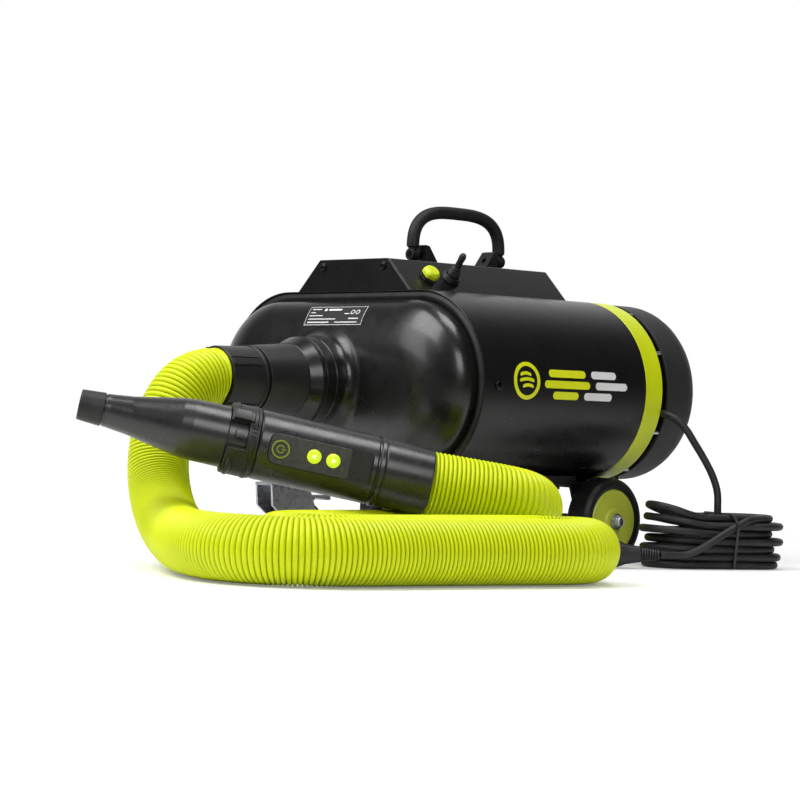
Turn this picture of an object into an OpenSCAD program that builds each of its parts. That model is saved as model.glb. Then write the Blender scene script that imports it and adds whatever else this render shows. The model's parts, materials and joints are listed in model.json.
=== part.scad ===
// Twin-motor car dryer blower with its air hose, handset and mains lead.
// X runs across the machine, Y towards its rear, Z up. The floor is Z = 0.

/* [Body shell] */
// Height of the obround body shell
shell_height = 180; // [176:1:184]
// Width of the body shell over its two round ends
shell_width = 368; // [360:1:376]
// Length of the black part of the shell
shell_length = 229; // [224:1:236]
// Length of the lime band behind the shell
band_length = 25; // [20:1:26]
// Thickness of the folded sheet steel
sheet = 1.5; // [1.2:0.1:2]
// Height of the shell's long axis above the floor
axis_z = 171; // [169:1:173]

/* [Front cap and air outlet] */
// How far the front cap's flat face stands in front of the shell
cap_depth = 36; // [34:1:38]
// Radius of the cap's rounded shoulder
cap_shoulder = 30; // [26:1:30]
// Width of the dark trim ring between shell and cap
trim_width = 8.4; // [7:0.1:8.4]
// Outside radius of the cap's outlet neck
neck_radius = 43.5; // [42:0.5:45]
// Distance of the hose cuff's open end in front of the shell
cuff_end = 172; // [172:1:176]

/* [Rear cover] */
// Open gap between the lime band and the cover, where air is drawn in
air_gap = 8; // [8:0.5:10]
// Length of the cover
cover_length = 58; // [55:1:60]
// Radius of the cover's rounded shoulder
cover_shoulder = 28; // [20:1:29]

/* [Top housing] */
// Width of the housing's flat top
housing_top = 97; // [94:1:99]
// Height of the housing above the shell
housing_height = 31; // [30:1:32]
// Length of the housing
housing_length = 222; // [216:1:224]

/* [Carry handle] */
// Distance between the two legs of the handle, centre to centre
handle_span = 123; // [118:1:128]
// Radius of the handle's grip tube
handle_radius = 6.3; // [5.5:0.1:6.5]
// Height of the grip's centre above the housing
handle_rise = 55; // [50:1:58]

/* [Wheels] */
// Radius of a rear wheel over its tyre
tyre_radius = 42.5; // [41:0.5:43]
// Width of a rear tyre
tyre_width = 30; // [26:1:30]
// Distance between the outer faces of the rear wheels
rear_track = 330; // [326:2:334]
// Radius of a caster wheel
caster_radius = 25; // [24:0.5:25]

/* [Hose and handset] */
// Outside radius of the ribbed air hose
hose_radius = 28; // [27:0.5:28]
// Outside radius of the handset's body
grip_radius = 30.5; // [29.5:0.5:31]
// Length of the handset
handset_length = 313; // [309:1:316]
// Radius of the mains lead
lead_radius = 3.7; // [3.4:0.1:3.7]

/* [Hidden] */
$fn = 96;
fit = 0.05;
shell_r = shell_height / 2;
end_x = (shell_width - shell_height) / 2;
top_z = axis_z + shell_r;
floor_z = axis_z - shell_r;
band_end = shell_length + band_length;
cover_start = band_end + air_gap;
cover_end = cover_start + cover_length;
cap_r = shell_r - sheet - trim_width;
housing_z = top_z + housing_height;
housing_rear = 2 + housing_length;
slope_x = housing_top / 2 + housing_height / 2;
slope_z = top_z + housing_height / 2;
breaker_y = 39;
toggle_y = 69;
handle_y = 142;
pivot_z = housing_z + 10;
grip_z = housing_z + handle_rise;
bend_r = 34;
wheel_y = 210.5;
hub_r = 32;
wheel_out = rear_track / 2;
wheel_in = wheel_out - tyre_width;
plate_z = floor_z - 3.5;
caster_x = 122;
caster_y = 18;
caster_trail = 33;
motor_x = 90;
plate_y = 38;
fan_front = plate_y + 5;
fan_rear = fan_front + 50;
motor_rear = fan_rear + 62;
outlet_z = axis_z - 1;
gland = [178, 258, 151];
handset_rear = [226, -111, 82];
handset_tilt = 11;
handset_heading = 55.6;
button_z = [19.5, 49.5, 66.5];
hank_middle = [231, 277, 30.5];
hank_heading = 64.4;
hank_length = 150;
hank_width = 70;
hank_height = 60;
plug_rear = [222, 183, 14];
plug_heading = 226;
middle_x = 32;
middle_y = -26.1;

lime = [0.72, 0.85, 0.05];
black = [0.07, 0.07, 0.08];
gloss = [0.03, 0.03, 0.035];
rubber = [0.1, 0.1, 0.1];
zinc = [0.72, 0.73, 0.75];

hose_route = [
    [0, -172, 170], [0, -190, 170], [0, -208, 160], [0, -223, 141], [1, -233, 116],
    [6, -240, 92], [21, -249, 67], [45, -261, 48], [76, -277, 36], [112, -297, 30],
    [168, -331, 29], [230, -354, 29], [272, -350, 29], [305, -325, 29], [323, -286, 29],
    [337, -228, 29], [352, -166, 29], [367, -110, 29], [373, -72, 29], [362, -45, 29],
    [337, -34, 29], [313, -46, 29], [301, -74, 29], [294, -120, 29], [286, -180, 29],
    [277, -242, 29], [264, -273, 29], [237, -284, 29], [210, -273, 29], [198, -244, 29],
    [200, -178, 29], [200, -118, 29], [197, -76, 30], [199, -44, 35], [208, -15, 43],
    [230, 1, 52], [257, -6, 60], [272, -34, 68], [253, -72, 75], [226, -111, 82]
];
lead_route = [
    [178, 258, 151], [187, 259.5, 149.5], [196, 262, 145], [204, 266.5, 136.5], [211, 273, 122],
    [218, 280.5, 106], [224.5, 286, 90], [229.5, 288, 74], [231.5, 286.5, 60]
];
plug_route = [
    [247, 220, 14], [243, 212, 14], [239, 204, 14], [235, 196.5, 14]
];

// ---- shared shapes ----

// Puts the machine's own coordinates onto the part's origin.
module placed() {
    translate([-middle_x, -middle_y, 0]) children();
}

// Obround outline with round ends of radius r.
module obround(r) {
    translate([-end_x, 0]) circle(r);
    translate([end_x, 0]) circle(r);
    square([2 * end_x, 2 * r], center = true);
}

// Extrudes an outline drawn across the machine from y = from to y = to.
module across(from, to, z = axis_z) {
    translate([0, to, z]) rotate([90, 0, 0]) linear_extrude(to - from) children();
}

// Turned piece on an axis that points forward (-Y) from y = start.
module forward(start, x = 0, z = outlet_z) {
    translate([x, start, z]) rotate([90, 0, 0]) children();
}

// Turned piece on an axis that points rearward (+Y) from y = start.
module rearward(start, x = 0, z = axis_z) {
    translate([x, start, z]) rotate([-90, 0, 0]) children();
}

// Cylinder whose axis lies across the machine, from x = from to x = to.
module crosswise(from, to, r, y = 0, z = 0) {
    translate([from, y, z]) rotate([0, 90, 0]) cylinder(h = to - from, r = r);
}

// Plain ring with outside radius r and bore radius b.
module ring(h, r, b) {
    difference() {
        cylinder(h = h, r = r);
        translate([0, 0, -1]) cylinder(h = h + 2, r = b);
    }
}

// Profile of a domed end, radius across and depth up.
module dome_profile(r, depth, shoulder) {
    intersection() {
        union() {
            square([r - shoulder, depth]);
            square([r, depth - shoulder]);
            translate([r - shoulder, depth - shoulder]) circle(shoulder);
        }
        square([r, depth]);
    }
}

// Obround solid with one domed end, standing on z = 0.
module domed_obround(r, depth, shoulder) {
    for (side = [-1, 1])
        translate([side * end_x, 0, 0]) rotate_extrude() dome_profile(r, depth, shoulder);
    rotate([90, 0, 90]) translate([0, 0, -end_x]) linear_extrude(2 * end_x) {
        dome_profile(r, depth, shoulder);
        mirror([1, 0]) dome_profile(r, depth, shoulder);
    }
}

// Shell-like dome: a domed obround with a wall of thickness t, open at z = 0.
module hollow_dome(r, depth, shoulder, t) {
    difference() {
        domed_obround(r, depth, shoulder);
        translate([0, 0, -0.01]) domed_obround(r - t, depth - t + 0.01, shoulder - t);
    }
}

// Pan-head screw seen from outside, head on z = 0, with a cross recess.
module pan_head(r, h) {
    difference() {
        union() {
            cylinder(h = h * 0.6, r = r);
            translate([0, 0, h * 0.6]) cylinder(h = h * 0.4, r1 = r, r2 = r * 0.75);
        }
        for (turn = [0, 90])
            rotate([0, 0, turn]) translate([0, 0, h]) cube([r * 1.1, r * 0.25, h * 0.9], center = true);
    }
}

// ---- swept tubes ----

function unit(v) = v / norm(v);
function heading(route, i) =
    i == 0 ? unit(route[1] - route[0])
    : i == len(route) - 1 ? unit(route[i] - route[i - 1])
    : unit(unit(route[i + 1] - route[i]) + unit(route[i] - route[i - 1]));
function flatten(v, axis) = unit(v - (v * axis) * axis);
function carry(route, i, side) = flatten(side, heading(route, i));
function sides(route, i = 0, side = [0.3, 0.2, 1]) =
    i == len(route) ? []
    : let (s = carry(route, i, side)) concat([s], sides(route, i + 1, s));
function ring_points(route, frame, i, r, n) = [
    for (k = [0 : n - 1])
        let (a = 360 * k / n, u = frame[i], v = cross(heading(route, i), frame[i]))
        route[i] + r * (cos(a) * u + sin(a) * v)
];

// Round tube swept along a route, with n sides and a ring at each point.
module tube(route, r, n) {
    frame = sides(route);
    count = len(route);
    points = [for (i = [0 : count - 1]) each ring_points(route, frame, i, r, n)];
    walls = [
        for (i = [0 : count - 2], k = [0 : n - 1])
            let (a = i * n + k, b = i * n + (k + 1) % n) [a, a + n, b + n, b]
    ];
    first = [for (k = [0 : n - 1]) k];
    last = [for (k = [n - 1 : -1 : 0]) (count - 1) * n + k];
    polyhedron(points = points, faces = concat(walls, [first, last]), convexity = 6);
}

// ---- body ----

// Folded shell, with a window under the housing for the switches and their wiring.
module shell() {
    color(black) difference() {
        across(0, shell_length) difference() {
            obround(shell_r);
            obround(shell_r - sheet);
        }
        translate([28, 20, top_z - 5]) cube([52, 80, 10]);
    }
}

module rear_band() {
    color(lime) {
        across(shell_length, band_end) difference() {
            obround(shell_r);
            obround(shell_r - 6);
        }
        across(shell_length - 10, shell_length) difference() {
            obround(shell_r - sheet - fit);
            obround(shell_r - 6);
        }
    }
}

module trim_ring() {
    color(rubber) across(0.5, 12) difference() {
        obround(shell_r - sheet - fit);
        obround(cap_r + fit);
    }
}

module front_cap() {
    neck_start = cap_depth - 1;
    color(gloss) difference() {
        union() {
            translate([0, 14, axis_z]) rotate([90, 0, 0])
                hollow_dome(cap_r, cap_depth + 14, cap_shoulder, 3);
            forward(-neck_start) difference() {
                rotate_extrude() difference() {
                    union() {
                        square([neck_radius + 18, 19]);
                        square([neck_radius, 33]);
                        square([neck_radius - 1.5, 34.5]);
                    }
                    translate([neck_radius + 18, 19]) circle(18);
                }
            }
        }
        forward(-neck_start + 10) cylinder(h = 60, r = 33);
    }
}

module outlet_ring() {
    color(gloss) forward(-69.5) difference() {
        union() {
            cylinder(h = 2, r = 43);
            translate([0, 0, 2]) cylinder(h = 12.5, r1 = 43, r2 = 36.6);
        }
        translate([0, 0, -1]) cylinder(h = 17, r = 33);
    }
}

module outlet_collar() {
    color(black) forward(-84) difference() {
        cylinder(h = 44, r1 = 36.2, r2 = 32.4);
        translate([0, 0, -1]) cylinder(h = 46, r = 28);
    }
}

module hose_cuff() {
    cuff_length = cuff_end - 133.5;
    color(black) forward(-128) difference() {
        union() {
            cylinder(h = 2.5, r = 30.5);
            translate([0, 0, 2.5]) cylinder(h = 3, r = 32.3);
            translate([0, 0, 5.5]) cylinder(h = cuff_length, r1 = 31.2, r2 = 30.4);
            for (turn = [33 : 90 : 303])
                rotate([0, 0, turn]) translate([30.6, -4.2, 8]) cube([1, 8.4, cuff_length - 8]);
        }
        translate([0, 0, -1]) cylinder(h = cuff_length + 8, r = 24);
    }
}

// ---- motors and air path ----

module motor_plate() {
    color(zinc) difference() {
        across(plate_y, plate_y + 2) obround(shell_r - sheet - fit);
        for (side = [-1, 1])
            rearward(plate_y - 1, side * motor_x) cylinder(h = 4, r = 56);
    }
}

module motor_seals() {
    color(rubber) for (side = [-1, 1])
        rearward(plate_y + 2, side * motor_x) ring(3, 66, 57);
}

// Fan housing with the motor frame behind it, front face on z = 0.
module motor(side) {
    frame_h = motor_rear - fan_rear;
    color(zinc) rearward(fan_front, side * motor_x) {
        difference() {
            union() {
                cylinder(h = 50, r = 66);
                translate([0, 0, 50]) cylinder(h = frame_h, r = 44);
            }
            translate([0, 0, -1]) cylinder(h = 47, r = 63);
            translate([0, 0, 50]) cylinder(h = frame_h - 4, r = 38);
            translate([0, 0, 40]) cylinder(h = 120, r = 4 + fit);
            for (turn = [0 : 60 : 300])
                rotate([0, 0, turn]) translate([22, 0, 40]) cylinder(h = 11, r = 8);
            for (turn = [0 : 90 : 270])
                rotate([0, 0, turn + 45]) translate([34, -8, 60]) cube([14, 16, 30]);
            for (turn = [0 : 90 : 270])
                rotate([0, 0, turn]) translate([22, 0, 50]) cylinder(h = 80, r = 8);
        }
    }
}

// Fan, shaft and armature that spin inside one motor.
module rotor(side) {
    color([0.8, 0.55, 0.3]) rearward(fan_front, side * motor_x) {
        translate([0, 0, 8]) cylinder(h = 103, r = 4);
        translate([0, 0, 12]) cylinder(h = 2, r = 60);
        translate([0, 0, 14]) cylinder(h = 16, r = 9);
        for (turn = [0 : 45 : 315])
            rotate([0, 0, turn]) translate([8, -1, 13.9]) cube([50, 2, 14]);
        translate([0, 0, 56]) cylinder(h = 34, r = 30);
    }
}

module intake_grille() {
    color(black) difference() {
        across(244, 246) obround(shell_r - 6 - fit);
        for (side = [-1, 1], k = [-4 : 4]) {
            slot_length = 2 * sqrt(pow(60, 2) - pow(12 * k, 2));
            translate([side * 66 + 12 * k - 4, 243, axis_z - slot_length / 2])
                cube([8, 4, slot_length]);
        }
    }
}

module filter_pad() {
    color([0.2, 0.2, 0.2]) across(246, 258) obround(62);
}

module rear_cover() {
    color(black) translate([0, cover_start, axis_z]) rotate([-90, 0, 0])
        hollow_dome(shell_r - 1, cover_length, cover_shoulder, 3.5);
}

module cover_spacers() {
    spacer_r = shell_r - 3;
    color(zinc) for (side = [-1, 1]) {
        for (turn = [-27, 27, 63, -63])
            translate([side * (end_x + spacer_r * cos(turn)), 0, spacer_r * sin(turn)])
                rearward(band_end) cylinder(h = air_gap, r = 2);
        rearward(band_end, 0, axis_z + side * spacer_r) cylinder(h = air_gap, r = 2);
    }
}

module side_screws() {
    color(zinc) for (side = [-1, 1])
        translate([side * shell_width / 2, 19, axis_z]) rotate([0, side * 90, 0]) pan_head(4.6, 2.6);
}

// ---- top housing ----

// Outline of the housing across the machine, drawn inset by t.
module housing_outline(t) {
    low = housing_top / 2 + housing_height;
    skew = t * (sqrt(2) - 1);
    polygon([
        [-low + t + skew, 0],
        [-housing_top / 2 + skew, housing_height - t],
        [housing_top / 2 - skew, housing_height - t],
        [low - t - skew, 0]
    ]);
}

// Frame on the right-hand sloping side, z pointing out of the sheet.
module on_slope(y, drop = 0) {
    translate([slope_x + drop, y, slope_z - drop]) rotate([0, 45, 0]) children();
}

module top_housing() {
    color(black) difference() {
        across(2, housing_rear, top_z) housing_outline(0);
        translate([0, 0, -0.01]) across(1, housing_rear - sheet, top_z) housing_outline(sheet);
        on_slope(breaker_y, 1.5) translate([0, 0, -5]) cylinder(h = 10, r = 6);
        on_slope(toggle_y, 1.5) translate([0, 0, -5]) cylinder(h = 10, r = 6);
    }
}

module front_panel() {
    color(black) difference() {
        across(0, 2, top_z) housing_outline(0);
        for (side = [-1, 1])
            rearward(-1, side * 43, housing_z - 7) cylinder(h = 4, r = 2.1);
    }
}

module panel_screws() {
    color(zinc) for (side = [-1, 1]) {
        forward(0, side * 43, housing_z - 7) pan_head(4.4, 2.8);
        rearward(0, side * 43, housing_z - 7) cylinder(h = 8, r = 2);
    }
}

module speed_controller() {
    color([0.1, 0.35, 0.2]) translate([-38, 110, top_z + 6]) cube([76, 90, 2]);
    color(zinc) translate([-30, 125, top_z + 8]) cube([30, 50, 14]);
    color(black) translate([20, 140, top_z + 8]) cylinder(h = 18, r = 8);
    color(black) for (x = [-30, 26], y = [114, 192])
        translate([x, y, top_z]) cylinder(h = 6, r = 3);
}

module breaker_body() {
    color(rubber) on_slope(breaker_y, 1.5) difference() {
        union() {
            translate([0, 0, -13]) cylinder(h = 11.4, r = 7.5);
            translate([0, 0, -5]) cylinder(h = 5, r = 5.9);
            cylinder(h = 1.1, r = 9.4, $fn = 6);
        }
        translate([0, 0, -6]) cylinder(h = 10, r = 3.8);
    }
}

module breaker_button() {
    color(lime) on_slope(breaker_y, 1.5) {
        translate([0, 0, -3]) cylinder(h = 8, r = 3.8 - fit);
        translate([0, 0, 3.4]) cylinder(h = 5.6, r1 = 9, r2 = 7);
        translate([0, 0, 9]) cylinder(h = 1.6, r1 = 7, r2 = 4.5);
    }
}

module toggle_body() {
    color(rubber) on_slope(toggle_y, 1.5) {
        translate([-7, -14, -24]) cube([14, 28, 22.2]);
        difference() {
            union() {
                translate([0, 0, -5]) cylinder(h = 5, r = 5.9);
                cylinder(h = 2.5, r = 10);
                translate([0, 0, 2.5]) cylinder(h = 3, r1 = 9.4, r2 = 8.6);
            }
            translate([0, 0, 1]) cylinder(h = 6, r = 6.6);
        }
    }
}

module toggle_lever() {
    color(rubber) on_slope(toggle_y, 1.5) translate([0, 0, 6]) rotate([11, 0, 0]) {
        sphere(r = 4.6);
        translate([0, 0, 2.5]) cylinder(h = 8.5, r1 = 6.4, r2 = 4.4);
        translate([0, 0, 11]) cylinder(h = 13.5, r1 = 3.4, r2 = 3.2);
        translate([0, 0, 24.5]) sphere(r = 3.3);
    }
}

// ---- carry handle ----

module handle_base() {
    lug_y = handle_span / 2 - 10;
    color(black) {
        translate([-14, handle_y - 64, housing_z]) cube([28, 128, 3]);
        for (side = [-1, 1]) difference() {
            translate([-9, handle_y, housing_z + 2.9]) mirror([0, side < 0 ? 1 : 0, 0])
                rotate([90, 0, 90]) linear_extrude(18) polygon([
                    [lug_y - 17, 0], [lug_y - 5, 16], [lug_y, 17], [lug_y, 0]
                ]);
            rearward(handle_y - 70, 0, pivot_z) cylinder(h = 140, r = 3);
        }
    }
}

module handle_pins() {
    reach = handle_span / 2 + 5.5;
    inner = handle_span / 2 - 18;
    color(zinc) for (side = [-1, 1])
        rearward(handle_y + (side > 0 ? inner : -reach), 0, pivot_z)
            cylinder(h = reach - inner, r = 3 - fit);
}

// Half of the bail, from the middle of the grip to one pivot eye.
module handle_half() {
    leg = handle_span / 2;
    rearward(-0.01, 0, grip_z) cylinder(h = leg - bend_r + 0.01, r = handle_radius);
    translate([0, leg - bend_r, grip_z - bend_r]) rotate([90, 0, 90])
        rotate_extrude(angle = 90) translate([bend_r, 0]) circle(handle_radius);
    translate([0, leg, pivot_z + 5]) cylinder(h = grip_z - bend_r - pivot_z - 5, r = handle_radius);
    rearward(leg - 5, 0, pivot_z) cylinder(h = 10, r = 6);
    translate([-4.5, leg - 5, pivot_z]) cube([9, 10, 6]);
}

module handle_arch() {
    color(rubber) difference() {
        translate([0, handle_y, 0]) for (side = [0, 1]) mirror([0, side, 0]) handle_half();
        rearward(handle_y - 80, 0, pivot_z) cylinder(h = 160, r = 3);
    }
}

// ---- base, wheels and casters ----

module base_plate() {
    color(black) difference() {
        union() {
            translate([-138, 4, plate_z]) cube([276, 240, 3.5]);
            for (side = [-1, 1])
                translate([side > 0 ? 136 : -138, 4, plate_z]) cube([2, 240, 9]);
        }
        for (side = [-1, 1])
            translate([side > 0 ? 132 : -140, wheel_y - 30, plate_z - 1]) cube([8, 60, 12]);
    }
}

module base_bolts() {
    color(zinc) for (x = [-118, 118], y = [110, 172])
        translate([x, y, plate_z]) mirror([0, 0, 1]) {
            cylinder(h = 1.2, r = 7);
            translate([0, 0, 1.2]) cylinder(h = 4, r = 5, $fn = 6);
        }
}

module axle_brackets() {
    color(black) for (side = [-1, 1]) difference() {
        union() {
            translate([side > 0 ? 126 : -129, wheel_y, 0]) rotate([90, 0, 90])
                linear_extrude(3) polygon([
                    [-28, plate_z], [28, plate_z], [12, 32], [-12, 32]
                ]);
            translate([side > 0 ? 104 : -126, wheel_y - 28, plate_z - 3]) cube([22, 56, 3]);
        }
        crosswise(-140, 140, 5 + fit, wheel_y, tyre_radius);
    }
}

module rear_axle() {
    color(zinc) crosswise(-wheel_out - 1, wheel_out + 1, 5, wheel_y, tyre_radius);
}

module axle_nuts() {
    color(zinc) for (side = [-1, 1])
        translate([side * (wheel_out + 1), wheel_y, tyre_radius]) rotate([0, side * 90, 0]) {
            cylinder(h = 1.2, r = 8);
            translate([0, 0, 1.2]) cylinder(h = 4.5, r = 6.4, $fn = 6);
        }
}

// One rear wheel's own frame, z pointing away from the machine.
module on_wheel(side) {
    translate([side * wheel_in, wheel_y, tyre_radius]) rotate([0, side * 90, 0]) children();
}

module tyre(side) {
    color(rubber) on_wheel(side) difference() {
        rotate_extrude() {
            square([tyre_radius - 5, tyre_width - 1]);
            translate([0, 5]) square([tyre_radius, tyre_width - 11]);
            translate([tyre_radius - 5, 5]) circle(5);
            translate([tyre_radius - 5, tyre_width - 6]) circle(5);
        }
        translate([0, 0, -1]) cylinder(h = tyre_width + 1, r = hub_r);
    }
}

module hub(side) {
    color([0.55, 0.62, 0.2]) on_wheel(side) difference() {
        union() {
            cylinder(h = tyre_width - 3, r = hub_r - fit);
            translate([0, 0, tyre_width - 3]) cylinder(h = 1.6, r1 = hub_r - fit, r2 = hub_r - 2);
            translate([0, 0, 0]) cylinder(h = tyre_width, r = 10);
            translate([0, 0, -5]) cylinder(h = 6, r = 11);
        }
        translate([0, 0, -9]) cylinder(h = tyre_width + 10, r = 5 + fit);
        for (turn = [0 : 60 : 300])
            rotate([0, 0, turn]) translate([20, 0, -1]) cylinder(h = 12, r = 7);
    }
}

module caster_mounts() {
    color(zinc) for (side = [-1, 1]) translate([side * caster_x, caster_y, 0]) {
        difference() {
            translate([-26, -20, plate_z - 3]) cube([52, 40, 3]);
            translate([0, 0, plate_z - 4]) cylinder(h = 5, r = 4 + fit);
        }
        for (x = [-19, 19], y = [-13, 13])
            translate([x, y, plate_z - 6.5]) cylinder(h = 3.5, r = 4, $fn = 6);
    }
}

// Frame of one caster, centred on its swivel axis at floor level.
module on_caster(side) {
    translate([side * caster_x, caster_y, 0]) children();
}

module caster_fork(side) {
    crown = plate_z - 3.3;
    color(zinc) on_caster(side) {
        translate([0, 0, crown - 5]) cylinder(h = 5, r = 17);
        translate([0, 0, crown - 1]) cylinder(h = 4, r = 4);
        translate([-13, -19, crown - 8]) cube([26, 40, 3.1]);
        for (x = [-13, 10.5]) difference() {
            translate([x, 0, 0]) rotate([90, 0, 90]) linear_extrude(2.5) polygon([
                [-19, crown - 5], [-17, 46], [20, 17], [30, 13], [40, 15], [44, 24],
                [42, 40], [34, 60], [23, crown - 5]
            ]);
            crosswise(-20, 20, 4 + fit, caster_trail, caster_radius);
        }
        crosswise(-15.5, 15.5, 4, caster_trail, caster_radius);
        crosswise(-13, 13, 1.5 - fit, 26, 57);
        for (x = [-17, 13])
            crosswise(x, x + 4, 6.5, caster_trail, caster_radius, $fn = 6);
    }
}

module caster_wheel(side) {
    color(rubber) on_caster(side) translate([-9, caster_trail, caster_radius]) rotate([0, 90, 0])
        difference() {
            rotate_extrude() {
                square([caster_radius - 4, 18]);
                translate([0, 4]) square([caster_radius, 10]);
                translate([caster_radius - 4, 4]) circle(4);
                translate([caster_radius - 4, 14]) circle(4);
            }
            translate([0, 0, -1]) cylinder(h = 20, r = 4 + fit);
            for (face = [-1, 15])
                translate([0, 0, face]) ring(4, 17, 9);
        }
}

// Foot lever over the caster wheel, hinged between the fork's cheeks.
module caster_brake(side) {
    color(zinc) on_caster(side) difference() {
        union() {
            crosswise(-10, 10, 4, 26, 57);
            translate([-10, 26, 53.5]) cube([20, 32, 3]);
            translate([-10, 56, 51.5]) cube([20, 8, 5]);
            translate([-7, 38, 51]) cube([14, 7, 3]);
        }
        crosswise(-12, 12, 1.5, 26, 57);
    }
}

// ---- air hose and handset ----

module air_hose() {
    color(lime) tube(hose_route, hose_radius, 12);
}

// Handset frame: z runs from the nozzle's tip (0) to the hose end, -y faces the controls.
module on_handset(from = 0) {
    translate(handset_rear) rotate([0, 90 + handset_tilt, handset_heading])
        translate([0, 0, from - handset_length]) children();
}

module nozzle_tip() {
    color(rubber) on_handset(0) difference() {
        cylinder(h = 21, r1 = 13.2, r2 = 14.8);
        translate([0, 0, -1]) cylinder(h = 23, r = 11);
    }
}

module nozzle() {
    color(black) on_handset(21) difference() {
        union() {
            cylinder(h = 4, r = 14.4);
            translate([0, 0, 3]) cylinder(h = 69, r1 = 14.4, r2 = 26.2);
            translate([0, 0, 72]) cylinder(h = 36, r1 = 26.2, r2 = 27);
            translate([0, 0, 108]) cylinder(h = 20, r = 25.7);
            rotate([0, 0, -100]) translate([24, -4, 114]) cube([6, 8, 8]);
        }
        translate([0, 0, -1]) cylinder(h = 4, r = 11);
        translate([0, 0, 2.99]) cylinder(h = 69.01, r1 = 11, r2 = 23);
        translate([0, 0, 71.99]) cylinder(h = 60, r = 23);
    }
}

module lock_ring() {
    color(black) on_handset(129.4) difference() {
        union() {
            cylinder(h = 26.2, r = 31.2);
            translate([0, 0, 4]) cylinder(h = 3, r = 31.9);
            translate([0, 0, 20]) cylinder(h = 3, r = 31.9);
            for (turn = [-125, 55])
                rotate([0, 0, turn]) translate([29, -9, 2]) cube([4.2, 18, 20]);
        }
        translate([0, 0, -1]) cylinder(h = 30, r = 26);
        rotate([0, 0, -100]) translate([20, -12, -1]) cube([20, 24, 16.5]);
    }
}

module handset_body() {
    color(black) on_handset(156) difference() {
        cylinder(h = 106, r = grip_radius);
        translate([0, 0, -1]) cylinder(h = 108, r = 24);
        translate([-14, -grip_radius - 1, 8.5]) cube([28, 4.6, 93]);
        for (z = button_z)
            translate([0, -grip_radius + 8, z]) rotate([90, 0, 0]) cylinder(h = 20, r = 5.2);
    }
}

module control_panel() {
    color([0.25, 0.25, 0.26]) on_handset(156) difference() {
        translate([-13.2, -grip_radius + 1.8, 9.5]) cube([26.4, 1.8, 72]);
        translate([0, -20, button_z[0]]) rotate([90, 0, 0]) cylinder(h = 20, r = 8.6);
        for (z = [button_z[1], button_z[2]])
            translate([0, -20, z]) rotate([90, 0, 0]) cylinder(h = 20, r = 6.6);
    }
}

// Round push button on the panel: cap of radius r and a stem that runs into the body.
module panel_button(z, r) {
    on_handset(156 + z) translate([0, -grip_radius + 2.4, 0]) rotate([90, 0, 0]) {
        cylinder(h = 2, r = r);
        translate([0, 0, -2.6]) cylinder(h = 3, r = 4.6);
    }
}

module power_button() {
    color([0.3, 0.32, 0.2]) panel_button(button_z[0], 8.2);
}

module slower_button() {
    color(lime) panel_button(button_z[1], 6.2);
}

module faster_button() {
    color(lime) panel_button(button_z[2], 6.2);
}

module handset_cuff() {
    color(black) on_handset(262) difference() {
        union() {
            cylinder(h = 1.6, r = 29.6);
            translate([0, 0, 1.6]) cylinder(h = 4.4, r = 31.4);
            translate([0, 0, 6]) cylinder(h = handset_length - 268, r1 = 30.6, r2 = 29.4);
        }
        translate([0, 0, -1]) cylinder(h = 60, r = 24);
    }
}

// ---- mains lead ----

module cord_gland() {
    color(rubber) {
        translate([157, 246, gland.z - 8]) cube([3, 16, 16]);
        translate([160, gland.y, gland.z]) rotate([0, 90, 0]) {
            cylinder(h = 15, r1 = 7.5, r2 = 3.95);
            translate([0, 0, 15]) cylinder(h = gland.x - 175, r1 = 3.95, r2 = 3.8);
        }
    }
}

module mains_lead() {
    color(rubber) tube(lead_route, lead_radius, 8);
}

// Space that the lead's loops fill, lying flat on the floor.
module cord_hank() {
    r = hank_width / 2;
    color(rubber) translate(hank_middle) rotate([0, 0, hank_heading])
        translate([0, 0, -hank_height / 2]) linear_extrude(hank_height) {
            for (side = [-1, 1]) translate([side * (hank_length / 2 - r), 0]) circle(r);
            square([hank_length - hank_width, hank_width], center = true);
        }
}

module plug_lead() {
    color(rubber) tube(plug_route, lead_radius, 8);
}

// Plug frame: x runs from the strain relief towards the pins.
module on_plug() {
    translate(plug_rear) rotate([0, 0, plug_heading]) children();
}

module mains_plug() {
    color(rubber) on_plug() {
        translate([-18, 0, 0]) rotate([0, 90, 0]) cylinder(h = 18, r1 = 5, r2 = 7.5);
        hull() {
            translate([0, -8, -7]) cube([2, 16, 14]);
            translate([20, 0, 0]) rotate([0, 90, 0]) cylinder(h = 7, r = 13);
        }
    }
    color(zinc) on_plug() for (turn = [90, 210, 330])
        translate([27, 0, 0]) rotate([turn, 0, 0]) translate([-1, 6.2, -2.6]) cube([17, 1.6, 5.2]);
}

placed() shell();
placed() rear_band();
placed() trim_ring();
placed() front_cap();
placed() outlet_ring();
placed() outlet_collar();
placed() hose_cuff();
placed() motor_plate();
placed() motor_seals();
placed() motor(-1);  // motor_left
placed() motor(1);  // motor_right
placed() rotor(-1);  // rotor_left
placed() rotor(1);  // rotor_right
placed() intake_grille();
placed() filter_pad();
placed() rear_cover();
placed() cover_spacers();
placed() top_housing();
placed() front_panel();
placed() panel_screws();
placed() speed_controller();
placed() breaker_body();
placed() breaker_button();
placed() toggle_body();
placed() toggle_lever();
placed() handle_base();
placed() handle_arch();
placed() handle_pins();
placed() side_screws();
placed() base_plate();
placed() base_bolts();
placed() axle_brackets();
placed() rear_axle();
placed() axle_nuts();
placed() tyre(-1);  // tyre_left
placed() tyre(1);  // tyre_right
placed() hub(-1);  // hub_left
placed() hub(1);  // hub_right
placed() caster_mounts();
placed() caster_fork(-1);  // caster_fork_left
placed() caster_fork(1);  // caster_fork_right
placed() caster_wheel(-1);  // caster_wheel_left
placed() caster_wheel(1);  // caster_wheel_right
placed() caster_brake(-1);  // caster_brake_left
placed() caster_brake(1);  // caster_brake_right
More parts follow.
